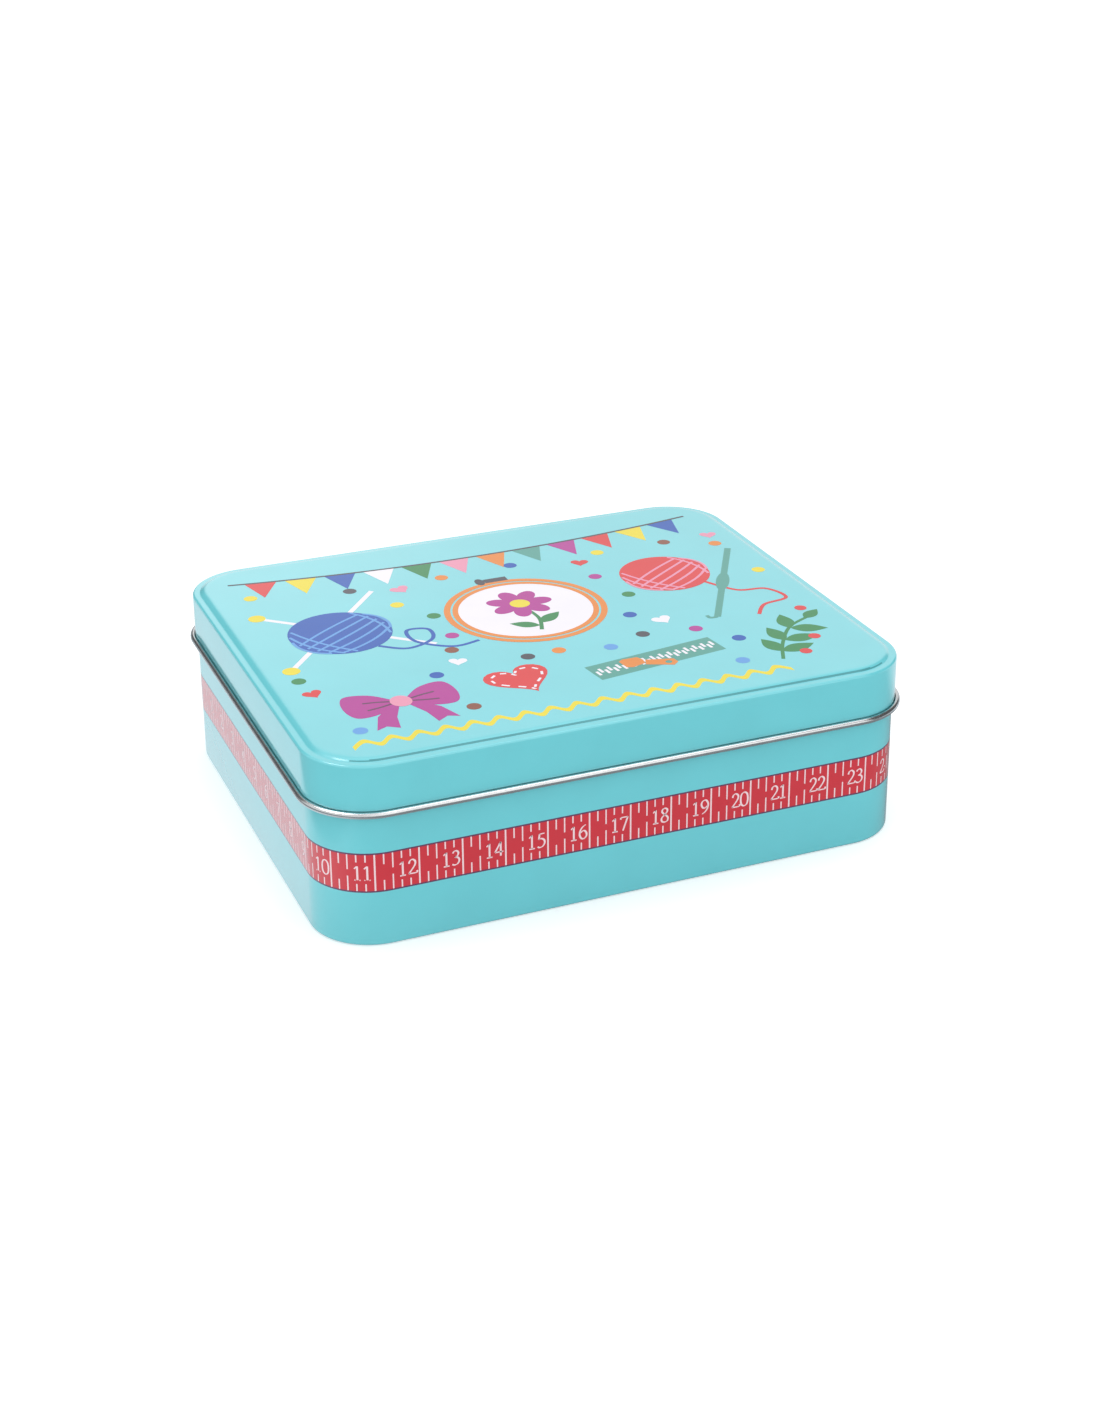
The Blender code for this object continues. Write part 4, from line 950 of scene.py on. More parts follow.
def build_bunting():
    """A string of little flags along the back."""
    def string(x):
        return 48.5 - 5.5 * (1 - (x / 63) ** 2)
    line = [(x, string(x)) for x in range(-63, 64, 7)]
    print_on_lid("bunting_string", "slate", 3, [[thread_line(line, 0.8)]])
    flags = {}
    colours = ("coral", "yellow", "blue", "white", "green", "pink", "orange", "teal", "magenta")
    for index in range(12):
        x = -55 + 10 * index
        y = string(x)
        lean = math.atan(string(x + 1) - string(x))
        flag = moved([(-4.1, 0), (4.1, 0), (0, -10)], x, y, lean)
        flags.setdefault(colours[index % len(colours)], []).append([flag])
    for colour, shapes in flags.items():
        print_on_lid("flags_" + colour, colour, 2, shapes)


def ball_strands(x, y, radius, turn, shares):
    """Strands that run over a ball of yarn."""
    shapes = []
    for share in shares:
        reach = radius * 0.93 * math.sqrt(1 - share * share)
        end, bow = share * radius, 1.18 * share * radius
        side = (end + bow * 3) / 4
        points = [(-reach, end), (-reach / 2, side), (0, bow), (reach / 2, side), (reach, end)]
        shapes.append([thread_line(moved(points, x, y, turn), 0.7)])
    return shapes


def build_yarn(name, x, y, radius, ink, pale, tail):
    """A ball of yarn with a loose end."""
    print_on_lid(name + "_ball", ink, 3, [[oval(x, y, radius, steps=56)]])
    strands = []
    for turn, shares in ((35, (-0.62, -0.4, -0.18, 0.04, 0.26)), (125, (0.5, 0.7, 0.86)), (-70, (0.72, 0.88))):
        strands += ball_strands(x, y, radius, turn * DEGREE, shares)
    print_on_lid(name + "_strands", pale, 4, strands)
    path = flowing(tail, 8)
    half = len(path) // 2
    print_on_lid(name + "_tail", ink, 2, [[thread_line(part, 1.0, 1)] for part in (path[:half + 1], path[half:])])


def build_knitting():
    """Two balls of yarn, with knitting needles and a crochet hook."""
    needles = [[(-63, -8), (-31, 31)], [(-62, 25), (-27, -6)]]
    print_on_lid("knitting_needles", "white", 1, [[thread_line(ends, 1.3, 1)] for ends in needles])
    print_on_lid("needle_knobs", "yellow", 2, [[oval(*ends[0], 2.1)] for ends in needles])
    build_yarn("blue_yarn", -46, 9, 12.5, "blue", "pale_blue",
               [(-40, -2), (-34, -6), (-27, -3), (-26, 3), (-31, 4), (-31, -3), (-24, -9), (-17, -8)])
    hook = [(63.5, 22.5), (41, -17.5)]
    grip = oval(52.2, 2.5, 6, 1.7, 60.6 * DEGREE)
    print_on_lid("crochet_hook", "teal", 2, [[thread_line(hook, 1.7, 1)], [grip]])
    print_on_lid("hook_tip", "teal", 2.5, [[thread_line([(41.0, -17.5), (39.2, -17.4), (38.9, -15.8)], 1.0)]])
    build_yarn("coral_yarn", 41, 13, 11.5, "coral", "pink",
               [(48, 4), (53, -4), (60, -6), (62, -13), (55, -15), (51, -20)])


def build_hoop():
    """An embroidery hoop with a flower on its cloth."""
    x, y = 0, 5
    print_on_lid("hoop_cloth", "white", 1, [[oval(x, y, 17.5, steps=64)]])
    rings = [[oval(x, y, radius, steps=64) for radius in pair] for pair in ((20, 18.4), (17.9, 16.5))]
    print_on_lid("hoop_rings", "orange", 3, rings)
    print_on_lid("hoop_screw", "slate", 4, [[moved([(-3, 0), (3, 0), (3, 2.4), (-3, 2.4)], x, y + 19.6)],
                                            [oval(x - 4.2, y + 20.8, 1.2, 2.1)]])
    stem = thread_line([(x - 1, y - 13), (x + 1, y - 6), (x, y + 2)], 1.0)
    print_on_lid("flower_stem", "green", 2, [[stem], [leaf(x + 0.4, y - 9, 8, 3.6, 35 * DEGREE)],
                                             [leaf(x - 0.4, y - 10.5, 7.5, 3.4, 150 * DEGREE)]])
    turns = [index * TURN / 7 for index in range(7)]
    petals = [[oval(x + 5 * math.cos(turn), y + 4 + 5 * math.sin(turn), 3.3, 2.2, turn)] for turn in turns]
    print_on_lid("flower_petals", "magenta", 3, petals)
    print_on_lid("flower_middle", "yellow", 4, [[oval(x, y + 4, 2.5)]])


def build_bow():
    """A ribbon tied in a bow."""
    x, y = -45, -33
    side = flowing([(1.2, 0.8), (6, 5.6), (11.8, 6.4), (13.4, 0.4), (11.6, -5), (6, -4.6), (1.2, -0.8)], 6)
    tail = [(0.6, -1), (3.4, -7.5), (4.4, -13), (7.0, -11.2), (9.6, -12.4), (7.4, -6), (2.4, -0.6)]
    halves = [[moved([(way * u, v) for u, v in half], x, y)] for half in (side, tail) for way in (1, -1)]
    print_on_lid("bow", "magenta", 2, halves)
    folds = []
    for sign in (-1, 1):
        for lift in (-1.4, 1.4):
            points = [(sign * 2.2, lift * 0.4), (sign * 5.2, lift), (sign * 8.4, lift * 1.4)]
            folds.append([thread_line(moved(points, x, y), 0.6)])
    print_on_lid("bow_folds", "plum", 3, folds)
    print_on_lid("bow_knot", "pink", 4, [[oval(x, y, 2.5, 2.9)]])


def build_zip():
    """A zip with its slider."""
    x, y, half, turn = 17, -34, 17, 8 * DEGREE
    tape = moved([(-half, -4), (half, -4), (half, 4), (-half, 4)], x, y, turn)
    print_on_lid("zip_tape", "teal", 1, [[tape]])
    teeth = []
    for index in range(28):
        u = -half + 1.2 + index * 1.17
        v = 0.55 if index % 2 else -0.55
        tooth = [(u - 0.36, v - 1.1), (u + 0.36, v - 1.1), (u + 0.36, v + 1.1), (u - 0.36, v + 1.1)]
        teeth.append([moved(tooth, x, y, turn)])
    print_on_lid("zip_teeth", "white", 2, teeth)
    slider = [(-2.6, -1.8), (-1.2, -2.5), (2.4, -1.9), (2.9, 0), (2.4, 1.9), (-1.2, 2.5), (-2.6, 1.8)]
    pull = [(2.0, -1.3), (8.6, -1.8), (9.6, 0), (8.6, 1.8), (2.0, 1.3)]
    hole = oval(7.4, 0, 0.8, steps=16)
    hanging = [moved(edge, x - 5, y - 0.4, turn - 0.5) for edge in (pull, hole)]
    print_on_lid("zip_slider", "orange", 3, [[moved(slider, x - 6, y, turn)], hanging])


def build_hearts():
    """A felt heart with its stitches, and smaller ones strewn about."""
    x, y = -16, -33
    print_on_lid("felt_heart", "coral", 2, [[heart(x, y, 16, 10 * DEGREE)]])
    rim = heart(x, y, 12.6, 10 * DEGREE, 60)
    stitches = [[thread_line([rim[i], rim[i + 2]], 0.6, 1)] for i in range(0, 57, 4)]
    print_on_lid("heart_stitches", "white", 3, stitches)
    small = {
        "pink": ((-24, 29, 5, 0.3), (63, 33, 4.5, -0.2)), "coral": ((24, 28, 4.6, -0.3), (-62, -22, 4.6, 0.2)),
        "white": ((28, -14, 5, 0.2), (-26, -18, 4.4, -0.3)),
    }
    for colour, places in small.items():
        print_on_lid("hearts_" + colour, colour, 2, [[heart(*place)] for place in places])


def build_sprig():
    """A leafy sprig in the right front corner."""
    stem = [(44, -46), (48, -38), (54, -30), (61, -26)]
    shapes = [[thread_line(stem, 0.9)]]
    for u, v, turn in ((46, -42, 0.1), (49.5, -36.5, 0.0), (54, -30.5, -0.25)):
        shapes.append([leaf(u, v, 9, 4.4, turn * TURN / 4)])
        shapes.append([leaf(u, v, 8.4, 4.2, 95 * DEGREE + turn)])
    shapes.append([leaf(60, -26.5, 6.5, 3.4, 35 * DEGREE)])
    print_on_lid("sprig", "green", 2, shapes)
    berries = ((51, -44), (57, -37), (62, -20.5))
    print_on_lid("berries", "coral", 3, [[oval(u, v, 1.5)] for u, v in berries])


def build_rickrack():
    """A wavy braid along the front, and dots in between."""
    wave = flowing([(-62 + 3.1 * index, -50.5 + (1.3 if index % 2 else -1.3)) for index in range(35)], 8)
    braid = [(x, y + 0.95) for x, y in wave] + [(x, y - 0.95) for x, y in reversed(wave)]
    print_on_lid("rickrack", "yellow", 1, [[braid]])
    dots = {
        "yellow": ((-28, 20), (31, 33), (-60, 38), (64, 6)), "blue": ((22, -8), (-33, -23), (7, 33.5), (40, -31)),
        "green": ((-22, 10), (27, 4), (-63, -14)), "magenta": ((24, 18), (-22, -3), (33, -22)),
        "orange": ((-12, 32.5), (-2, -21), (62, 27)), "slate": ((-36, 33), (-10, -21.5), (20, -20)),
        "brown": ((-25, -11), (50, 33), (-31, -42)), "pale_blue": ((10, -24), (-58, -44), (35, -43)),
    }
    for colour, places in dots.items():
        print_on_lid("dots_" + colour, colour, 2, [[oval(u, v, 1.7)] for u, v in places])


# Making the things in the tin

def turned(name, rings, steps=48):
    """A turned piece on an upright axis, drawn ring by ring through every (radius, height) in millimetres.
    Open ends are filled. A last ring that is the first one again closes it round on itself."""
    lay_aside()
    radius, height = rings[0]
    bpy.ops.mesh.primitive_circle_add(vertices=steps, radius=radius * MM, location=(0, 0, height * MM))
    piece = new_piece(name)
    edit(piece, "EDGE")
    pick_all()
    for wider, higher in rings[1:]:
        draw_out(z=higher - height)
        if wider != radius:
            share = wider / radius
            bpy.ops.transform.resize(value=(share, share, 1), center_override=(0, 0, higher * MM))
        radius, height = wider, higher
    pick_all()
    bpy.ops.mesh.remove_doubles(threshold=ONE_CORNER)
    bpy.ops.mesh.fill_holes(sides=0)
    bpy.ops.mesh.normals_make_consistent(inside=False)
    close()
    return piece


def round_of(radius, height, reach, start, end, count, rise=None):
    """Rings along part of a round, from a start to an end in degrees above level."""
    rise = reach if rise is None else rise
    turns = [math.radians(start + (end - start) * index / count) for index in range(count + 1)]
    return [(radius + reach * math.cos(turn), height + rise * math.sin(turn)) for turn in turns]


def soft_rim(radius, low, high, soft=0.3):
    """Rings round the outer edge of a disc, with both its corners softened."""
    return (round_of(radius - soft, low + soft, soft, -90, 0, 3)
            + round_of(radius - soft, high - soft, soft, 0, 90, 3))


def flat_cut(name, loops, thickness, rounding=0.0, fineness=3):
    """A flat piece cut to closed loops in millimetres, with its edges rounded, centred on its own level."""
    drawn = draw_edges(name, loops)
    drawn.data.extrude = (thickness / 2 - rounding) * MM
    drawn.data.bevel_depth = rounding * MM
    drawn.data.bevel_resolution = fineness
    drawn.data.offset = -rounding * MM
    piece = into_mesh(drawn)
    face_out(piece)
    return piece


def wire_along(name, points, radius, fineness=2):
    """A round wire through the points, in millimetres."""
    line = bpy.data.curves.new(name, "CURVE")
    line.dimensions = "3D"
    line.bevel_depth = radius * MM
    line.bevel_resolution = fineness
    line.use_fill_caps = True
    run = line.splines.new("POLY")
    run.points.add(len(points) - 1)
    for point, place in zip(run.points, points):
        point.co = (*[part * MM for part in place], 1)
    piece = into_mesh(hang(name, line))
    face_out(piece)
    return piece


def block(name, sizes, place=(0, 0, 0), turn=0.0):
    """A block to be shaped further."""
    lay_aside()
    bpy.ops.mesh.primitive_cube_add(size=1, location=[part * MM for part in place], rotation=(0, 0, turn),
                                    scale=[part * MM for part in sizes])
    return new_piece(name)


def raised_sheet(name, wide, long, cuts, level):
    """A sheet, raised to its level at each place, all in millimetres."""
    lay_aside()
    bpy.ops.mesh.primitive_grid_add(x_subdivisions=cuts[0], y_subdivisions=cuts[1], size=1)
    bpy.context.object.scale = (wide * MM, long * MM, 1)
    sheet = new_piece(name)
    edit(sheet, "VERT")
    mesh = bmesh.from_edit_mesh(sheet.data)
    for vert in mesh.verts:
        vert.co.z = level(vert.co.x / MM, vert.co.y / MM) * MM
    bmesh.update_edit_mesh(sheet.data)
    close()
    return sheet


def soft_rise(distance, reach):
    """From nothing to one over a reach, softly."""
    share = min(1.0, max(0.0, distance / reach))
    return share * share * (3 - 2 * share)


def copy_to(model, name, place=(0, 0, 0), turn=(0, 0, 0)):
    """A copy of a model, with its own mesh, put in its place."""
    take(model)
    bpy.ops.object.duplicate()
    twin = bpy.context.object
    twin.name = name
    return put(twin, place, turn)


def join(name, pieces):
    """Several solids as one piece."""
    lay_aside()
    for piece in pieces:
        piece.select_set(True)
    bpy.context.view_layer.objects.active = pieces[0]
    bpy.ops.object.join()
    pieces[0].name = name
    return pieces[0]


def drill(piece, places, radius, low, high):
    """Upright holes through a piece."""
    drills = []
    for x, y in places:
        lay_aside()
        bpy.ops.mesh.primitive_cylinder_add(vertices=20, radius=radius * MM, depth=(high - low) * MM,
                                            location=(x * MM, y * MM, (low + high) / 2 * MM))
        drills.append(new_piece("drill"))
    cut_out(piece, join("drill", drills))


def soften(piece, amount, segments=2, limit=40):
    """Break every sharp edge of a piece."""
    edge = piece.modifiers.new("soft", "BEVEL")
    edge.width = amount * MM
    edge.segments = segments
    edge.limit_method = "ANGLE"
    edge.angle_limit = limit * DEGREE
    apply_all(piece)


SEAT = 1.7
PIVOT = (-3.3, -30.4, 11.9)
THIMBLE = (0.965, 17.5)
RIPPER = (23.5, 48.565, 28.0)
TAPE_MIDDLE = (0.965, 42.9)
WHEEL = (-38.3, -26.3)
CASE = (-42.46, 34.0)
HUNG_PINS = (31.565, -7.135)
CARRIER = (24.865, 15.865)
BAG = (19.75, -30.4)
LYING = (0, QUARTER, 0)


# Scissors

HANDLE_OUTLINE = (
    (20.0, 10.0), (26.4, 11.0), (36.4, 17.6), (44.0, 21.8), (54.0, 24.8), (64.0, 23.0), (70.3, 16.8),
    (72.3, 11.8), (70.3, 6.0), (66.5, 2.5), (57.8, 0.8),
)
FINGER_HOLE = (
    (67.0, 11.8), (64.0, 17.5), (56.5, 20.0), (49.0, 18.5), (42.7, 13.5), (41.0, 10.0), (44.0, 7.0),
    (54.0, 5.6), (62.8, 6.1), (66.5, 8.9),
)
BLADE_BACK = ((-42.06, 1.36), (-42.7, -0.68), (-42.06, -2.31), (-20.1, -4.76), (-4.27, -6.8), (3.84, -6.6))
BLADE_REAR = ((4.27, 6.87), (-3.0, 3.54), (-6.4, 1.5))
BLADE_EDGE = 1.36
BLADE_THICKNESS = 1.2
BLADE_LEVEL = 0.75
GROUND_WIDTH = 2.1
GROUND_DEPTH = 0.95
GROUND_END = -6.2
HANDLE_THICKNESS = 7.0
HANDLE_ROUNDING = 1.8


def build_handle(name, side):
    """One handle with its finger hole, moulded round."""
    outer = [(15.2, 10.0), (17.0, 10.0)] + flowing(HANDLE_OUTLINE, 7)
    outer += [(15.2, 0.8), (14.2, 1.2), (13.8, 2.2), (13.8, 8.6), (14.2, 9.6)]
    hole = flowing(FINGER_HOLE, 7, closed=True)[:-1]
    loops = [[(x, side * y) for x, y in loop] for loop in (outer, hole)]
    return put(flat_cut(name, loops, HANDLE_THICKNESS, HANDLE_ROUNDING, 5), PIVOT)


def build_blade(name, side):
    """One blade with its ground edge, shank and tang."""
    tang = [(12.0, 2.3), (26.0, 2.3), (26.0, 6.3), (12.0, 6.3)]
    loop = [(x, side * y) for x, y in flowing(BLADE_BACK, 6) + tang + flowing(BLADE_REAR, 5)]
    blade = flat_cut(name, [loop], BLADE_THICKNESS)
    edge = side * BLADE_EDGE * MM
    line = side * (BLADE_EDGE - GROUND_WIDTH) * MM
    edit(blade)
    pick_all()
    bpy.ops.mesh.bisect(plane_co=(0, line, 0), plane_no=(0, 1, 0))
    top = side * BLADE_THICKNESS / 2 * MM
    pick(blade, lambda vert: abs(vert.co.z - top) < 0.05 * MM and abs(vert.co.y - edge) < 0.2 * MM
         and vert.co.x < GROUND_END * MM, "VERT")
    bpy.ops.transform.translate(value=(0, 0, -side * GROUND_DEPTH * MM))
    pick_all()
    bpy.ops.mesh.normals_make_consistent(inside=False)
    close()
    x, y, z = PIVOT
    return put(blade, (x, y, z + side * BLADE_LEVEL))


def build_scissors():
    """The scissors, closed, with the rivet that they turn on."""
    for half, side, body in (("lower", -1, "tin"), ("upper", 1, "scissors_upper_half")):
        handle = build_handle("handle_" + half, side)
        fit(handle, RED_MOULDED, body, "red_plastic", "scissors_handle_" + half, angle=50)
        fit(build_blade("blade_" + half, side), GROUND_STEEL, body, "steel", "scissors_blade_" + half, angle=12)
    dome = round_of(0, 1.65, 3.4, 68, 0, 8, rise=0.9)
    rings = [(0.3, 2.2), (0.85, 2.2), (1.1, 2.42)] + dome + [(2.0, 1.65), (2.0, -1.65)]
    rings += [(radius, -height) for radius, height in dome[::-1]] + [(0.3, -2.52)]
    fit(put(turned("rivet", rings), PIVOT), TURNED_STEEL, "tin", "steel", "scissors_rivet")


# Spools

SPOOLS = (
    ("white", 60.565, 48.565), ("black", 43.065, 48.565), ("coral", 25.565, 48.565),
    ("blue", 60.565, 31.065), ("olive", 43.065, 31.065), ("yellow", 25.565, 31.065),
)
SPOOL_RIBS = 6
RIB_SIZE, RIB_OUT, RIB_LEVEL = (2.6, 0.5, 0.24), 6, 21.86
THREAD_TURNS = 130
THREAD_INNER = 4.9
THREAD_LOW, THREAD_HIGH = 1.3, 20.7
THREAD_WAIST = 7.68
THREAD_CROWN = 0.4
THREAD_GROOVE = 0.075


def build_spools():
    """Six spools, each a moulded core and the thread wound on it."""
    rings = [(3.1, 0.3), (3.4, 0), (4.6, 0), (4.8, 0.25), (7.2, 0.25), (7.4, 0)] + soft_rim(8.5, 0, 1)
    rings += [(5.0, 1.0), (4.6, 1.3), (4.6, 20.7), (5.0, 21.0)] + soft_rim(8.5, 21, 22)
    rings += [(7.4, 22), (7.2, 21.75), (4.8, 21.75), (4.6, 22), (3.4, 22), (3.1, 21.7), (3.1, 0.3)]
    core = turned("spool_core_model", rings, 56)
    ribs = []
    for index in range(SPOOL_RIBS):
        angle = TURN * index / SPOOL_RIBS
        place = (RIB_OUT * math.cos(angle), RIB_OUT * math.sin(angle), RIB_LEVEL)
        ribs.append(block("rib", RIB_SIZE, place, angle))
    core = join("spool_core_model", [core] + ribs)
    rings = [(THREAD_INNER, THREAD_LOW)]
    for index in range(THREAD_TURNS + 1):
        height = THREAD_LOW + (THREAD_HIGH - THREAD_LOW) * index / THREAD_TURNS
        from_middle = (2 * height - THREAD_LOW - THREAD_HIGH) / (THREAD_HIGH - THREAD_LOW)
        crown = THREAD_WAIST + THREAD_CROWN * (1 - from_middle ** 2)
        rings.append((crown - (THREAD_GROOVE if index % 2 else 0), height))
    rings += [(THREAD_INNER, THREAD_HIGH), (THREAD_INNER, THREAD_LOW)]
    winding = turned("spool_winding_model", rings, 44)
    for colour, x, y in SPOOLS:
        twist = (0, 0, (x * 7 + y * 3) % 60 * DEGREE)
        spool = copy_to(core, "spool_" + colour, (x, y, SEAT), twist)
        fit(spool, SPOOL_PLASTIC, "tin", "white_plastic", "spool_core_" + colour)
        wound = copy_to(winding, "thread_" + colour, (x, y, SEAT))
        thread = cotton("thread_of_" + colour, THREADS[colour], x, y)
        fit(wound, thread, "tin", "thread_" + colour, "spool_thread_" + colour, angle=80)
    clear_away(core, winding)


# Thimble

THIMBLE_SIDES = 48
DIMPLE_ROWS = 10
DIMPLE_PITCH = 0.8
DIMPLES_FROM = 12.0
DIMPLES_RADIUS = 5.43
THIMBLE_FLARE = 0.093


def build_thimble():
    """A thimble with its dimples, open end down."""
    rings = round_of(0, 12.4, 5.4, 86, 8, 7, rise=1.6)
    for row in range(DIMPLE_ROWS + 1):
        rings.append((DIMPLES_RADIUS + THIMBLE_FLARE * row, DIMPLES_FROM - DIMPLE_PITCH * row))
    rings += [(6.6, 2.0), (6.68, 1.35), (6.85, 1.2), (7.15, 1.15), (7.3, 0.95), (7.3, 0.25), (7.1, 0.0),
              (6.0, 0.0), (5.8, 0.25), (5.0, 8.0), (4.5, 11.9)]
    rings += round_of(0, 11.95, 4.5, 12, 86, 6, rise=1.15)
    thimble = turned("thimble_shell", rings, THIMBLE_SIDES)
    edit(thimble)

    def dimpled(face):
        middle = face.calc_center_median() / MM
        row = (DIMPLES_FROM - middle.z) / DIMPLE_PITCH
        if not 0 < row < DIMPLE_ROWS or math.hypot(middle.x, middle.y) < 5.2 + 0.1 * row:
            return False
        column = math.atan2(middle.y, middle.x) / (TURN / THIMBLE_SIDES)
        return (int(row) + math.floor(column)) % 2 == 0

    pick(thimble, dimpled)
    inset(0.1, -0.12, each=True)
    inset(0.13, -0.13, each=True)
    close()
    rounding = thimble.modifiers.new("rounding", "SUBSURF")
    rounding.levels = rounding.render_levels = 1
    apply_all(thimble)
    put(thimble, (*THIMBLE, SEAT))
    fit(thimble, THIMBLE_PLASTIC, "tin", "red_plastic", "thimble", angle=60)


# Seam ripper

RIPPER_GROOVES = (13.2, 11.2, 9.2)
BEAD_FROM_HANDLE = Vector((-22.2, -2.0, 0))


def build_seam_ripper():
    """The seam ripper: handle, clear cap, fork and bead."""
    rings = round_of(0, 42.6, 2.4, 86, 0, 8)
    rings += [(2.4 + 1.6 * (42.6 - height) / 27.6, height) for height in (38, 33, 28, 23, 18, 15)]
    for height in RIPPER_GROOVES:
        rings += [(4.0, height), (3.68, height - 0.3), (3.68, height - 0.9), (4.0, height - 1.2)]
    rings += [(4.0, 5.4), (3.8, 5.0), (3.0, 5.0), (3.0, 0.3), (2.8, 0.0), (1.55, 0.0), (1.4, 0.15), (1.4, 6.3)]
    handle = put(turned("ripper_grip", rings), RIPPER, LYING)
    fit(handle, RED_CLEAR, "tin", "red_plastic", "ripper_handle")

    rings = round_of(0, -32, 4.0, -86, 0, 10) + [(4.0, 4.4), (3.85, 4.7), (3.45, 4.7), (3.3, 4.5)]
    rings += round_of(0, -32, 3.3, 0, -86, 10)
    cap = put(turned("ripper_clear_cap", rings), RIPPER, LYING)
    fit(cap, CLEAR, "ripper_cap", "clear_plastic", "ripper_cap")

    fork = [(6.0, 1.0), (6.0, -1.0), (-12.0, -1.0), (-13.6, -1.5), (-15.0, -2.6), (-21.0, -2.6), (-21.0, -1.4),
            (-16.4, -1.4), (-15.3, -0.9), (-14.9, -0.1), (-15.3, 0.6), (-16.6, 1.0), (-29.9, 1.9), (-29.2, 2.35),
            (-26.0, 2.6), (-15.0, 2.6), (-13.4, 2.0), (-12.0, 1.0)]
    prongs = put(flat_cut("ripper_steel_fork", [fork], 1.0, 0.22, 2), RIPPER)
    fit(prongs, GROUND_STEEL, "tin", "steel", "ripper_fork", angle=50)

    rings = [(0.45, 1.12), (0.5, 0.85)] + round_of(0, 0, 0.9, 52, -84, 12)
    bead = put(turned("ripper_red_bead", rings, 24), Vector(RIPPER) + BEAD_FROM_HANDLE, LYING)
    fit(bead, RED_MOULDED, "tin", "red_plastic", "ripper_bead", angle=60)


# Tape measure

TAPE_INNER = 5.4
TAPE_OUTER = 14.1
TAPE_ROUNDS = 20
TAPE_POINTS = 72
TAPE_HALF = 0.19
TAPE_WIDE = 11.5
TAPE_TAIL_STEP, TAPE_TAIL_STEPS = 0.75, 16
PRINT_FROM_END = 5.5
PRINT_LONG = 96
PRINT_PROUD = 0.015
PRINT_LINE_HALF = 0.07
PRINT_MARGIN = 0.1
PRINT_FIGURE = 4.8
MARK_OF_TEN, MARK_OF_FIVE, MARK_OF_ONE = 2.6, 1.9, 1.2
CLIP_LONG = 5.0


def tape_path():
    """The rolled tape from its inner end to its straight tail, in millimetres on its own level."""
    count = TAPE_ROUNDS * TAPE_POINTS
    path = []
    for index in range(count + 1):
        angle = -QUARTER + TURN * (index - count) / TAPE_POINTS
        radius = TAPE_INNER + (TAPE_OUTER - TAPE_INNER) * index / count
        path.append(Vector((radius * math.cos(angle), radius * math.sin(angle))))
    return path + [path[-1] + Vector((TAPE_TAIL_STEP * (index + 1), 0)) for index in range(TAPE_TAIL_STEPS)]


def on_tape(path, lengths, along):
    """The point at a length back from the tape's end, a little proud of its outer face."""
    want = lengths[-1] - along
    index = next((i for i, length in enumerate(lengths) if length >= want), len(path) - 1)
    index = max(1, min(len(path) - 1, index))
    start, end = path[index - 1], path[index]
    share = (want - lengths[index - 1]) / (lengths[index] - lengths[index - 1])
    way = (end - start).normalized()
    point = start + (end - start) * share + Vector((way.y, -way.x)) * (TAPE_HALF + PRINT_PROUD)
    return point.x * MM, point.y * MM


def tape_patches():
    """What is printed on the tape: millimetre marks along both edges, and plain centimetre figures."""
    patches = []
    for millimetre in range(1, PRINT_LONG):
        high = MARK_OF_TEN if millimetre % 10 == 0 else MARK_OF_FIVE if millimetre % 5 == 0 else MARK_OF_ONE
        along = (PRINT_FROM_END + millimetre) * MM
        left, right = along - PRINT_LINE_HALF * MM, along + PRINT_LINE_HALF * MM
        patches.append(bar(left, right, PRINT_MARGIN * MM, high * MM))
        patches.append(bar(left, right, (TAPE_WIDE - high) * MM, (TAPE_WIDE - PRINT_MARGIN) * MM))
    figure = PRINT_FIGURE * MM
    across = TAPE_WIDE / 2 * MM - figure * (FIGURE_STEP - FIGURE_GAP) / 2
    for centimetre in range(1, 10):
        middle = (PRINT_FROM_END + 10 * centimetre - 5.0) * MM + figure / 2
        for points, sides in figure_strokes(str(centimetre), 0, 0, figure):
            patches.append(([(middle - y, across - x) for x, y in points], sides))
    return patches


def build_tape_measure():
    """The tape measure in its roll, with its print and the metal clip on its end."""
    path = tape_path()
    mesh = bmesh.new()
    run = [mesh.verts.new((point.x * MM, point.y * MM, 0)) for point in path]
    for pair in zip(run, run[1:]):
        mesh.edges.new(pair)
    drawn = bpy.data.meshes.new("tape_measure")
    mesh.to_mesh(drawn)
    mesh.free()
    tape = hang("tape_measure", drawn)
    edit(tape, "EDGE")
    pick_all()
    draw_out(z=TAPE_WIDE)
    close()
    cloth = tape.modifiers.new("cloth", "SOLIDIFY")
    cloth.thickness = 2 * TAPE_HALF * MM
    cloth.offset = 0
    apply_all(tape)
    face_out(tape)
    middle = (*TAPE_MIDDLE, SEAT)
    fit(put(tape, middle), TAPE_CLOTH, "tin", "tape_cloth", "tape_roll", angle=50)

    lengths = [0.0]
    for start, end in zip(path, path[1:]):
        lengths.append(lengths[-1] + (end - start).length)
    printed = lay_ink("tape_print", tape_patches(), lambda along: on_tape(path, lengths, along / MM), -1)
    fit(put(printed, middle), TAPE_INK, "tin", "tape_cloth")

    end = Vector(TAPE_MIDDLE) + path[-1]
    clip = block("tape_end_clip", (CLIP_LONG, 1.92, TAPE_WIDE))
    edit(clip)
    pick(clip, lambda face: abs(face.normal.y) > 0.9)
    inset(0.7, each=True)
    inset(0.25, -0.16, each=True)
    pick(clip, lambda face: face.normal.x < -0.9)
    inset(0.4)
    draw_out(4.2)
    close()
    soften(clip, 0.12)
    put(clip, (end.x + TAPE_TAIL_STEP - CLIP_LONG / 2, end.y, SEAT + TAPE_WIDE / 2))
    fit(clip, TURNED_STEEL, "tin", "steel", "tape_clip")


# Pin wheel

PIN_LEVEL = 3.3
FIRST_PIN = QUARTER + 8 * DEGREE
HEADS = (
    ("plum", 5), ("magenta", 5), ("bottle", 5), ("brown", 1), ("orange", 5), ("black", 8), ("green", 1), ("red", 4),
    ("white", 6),
)


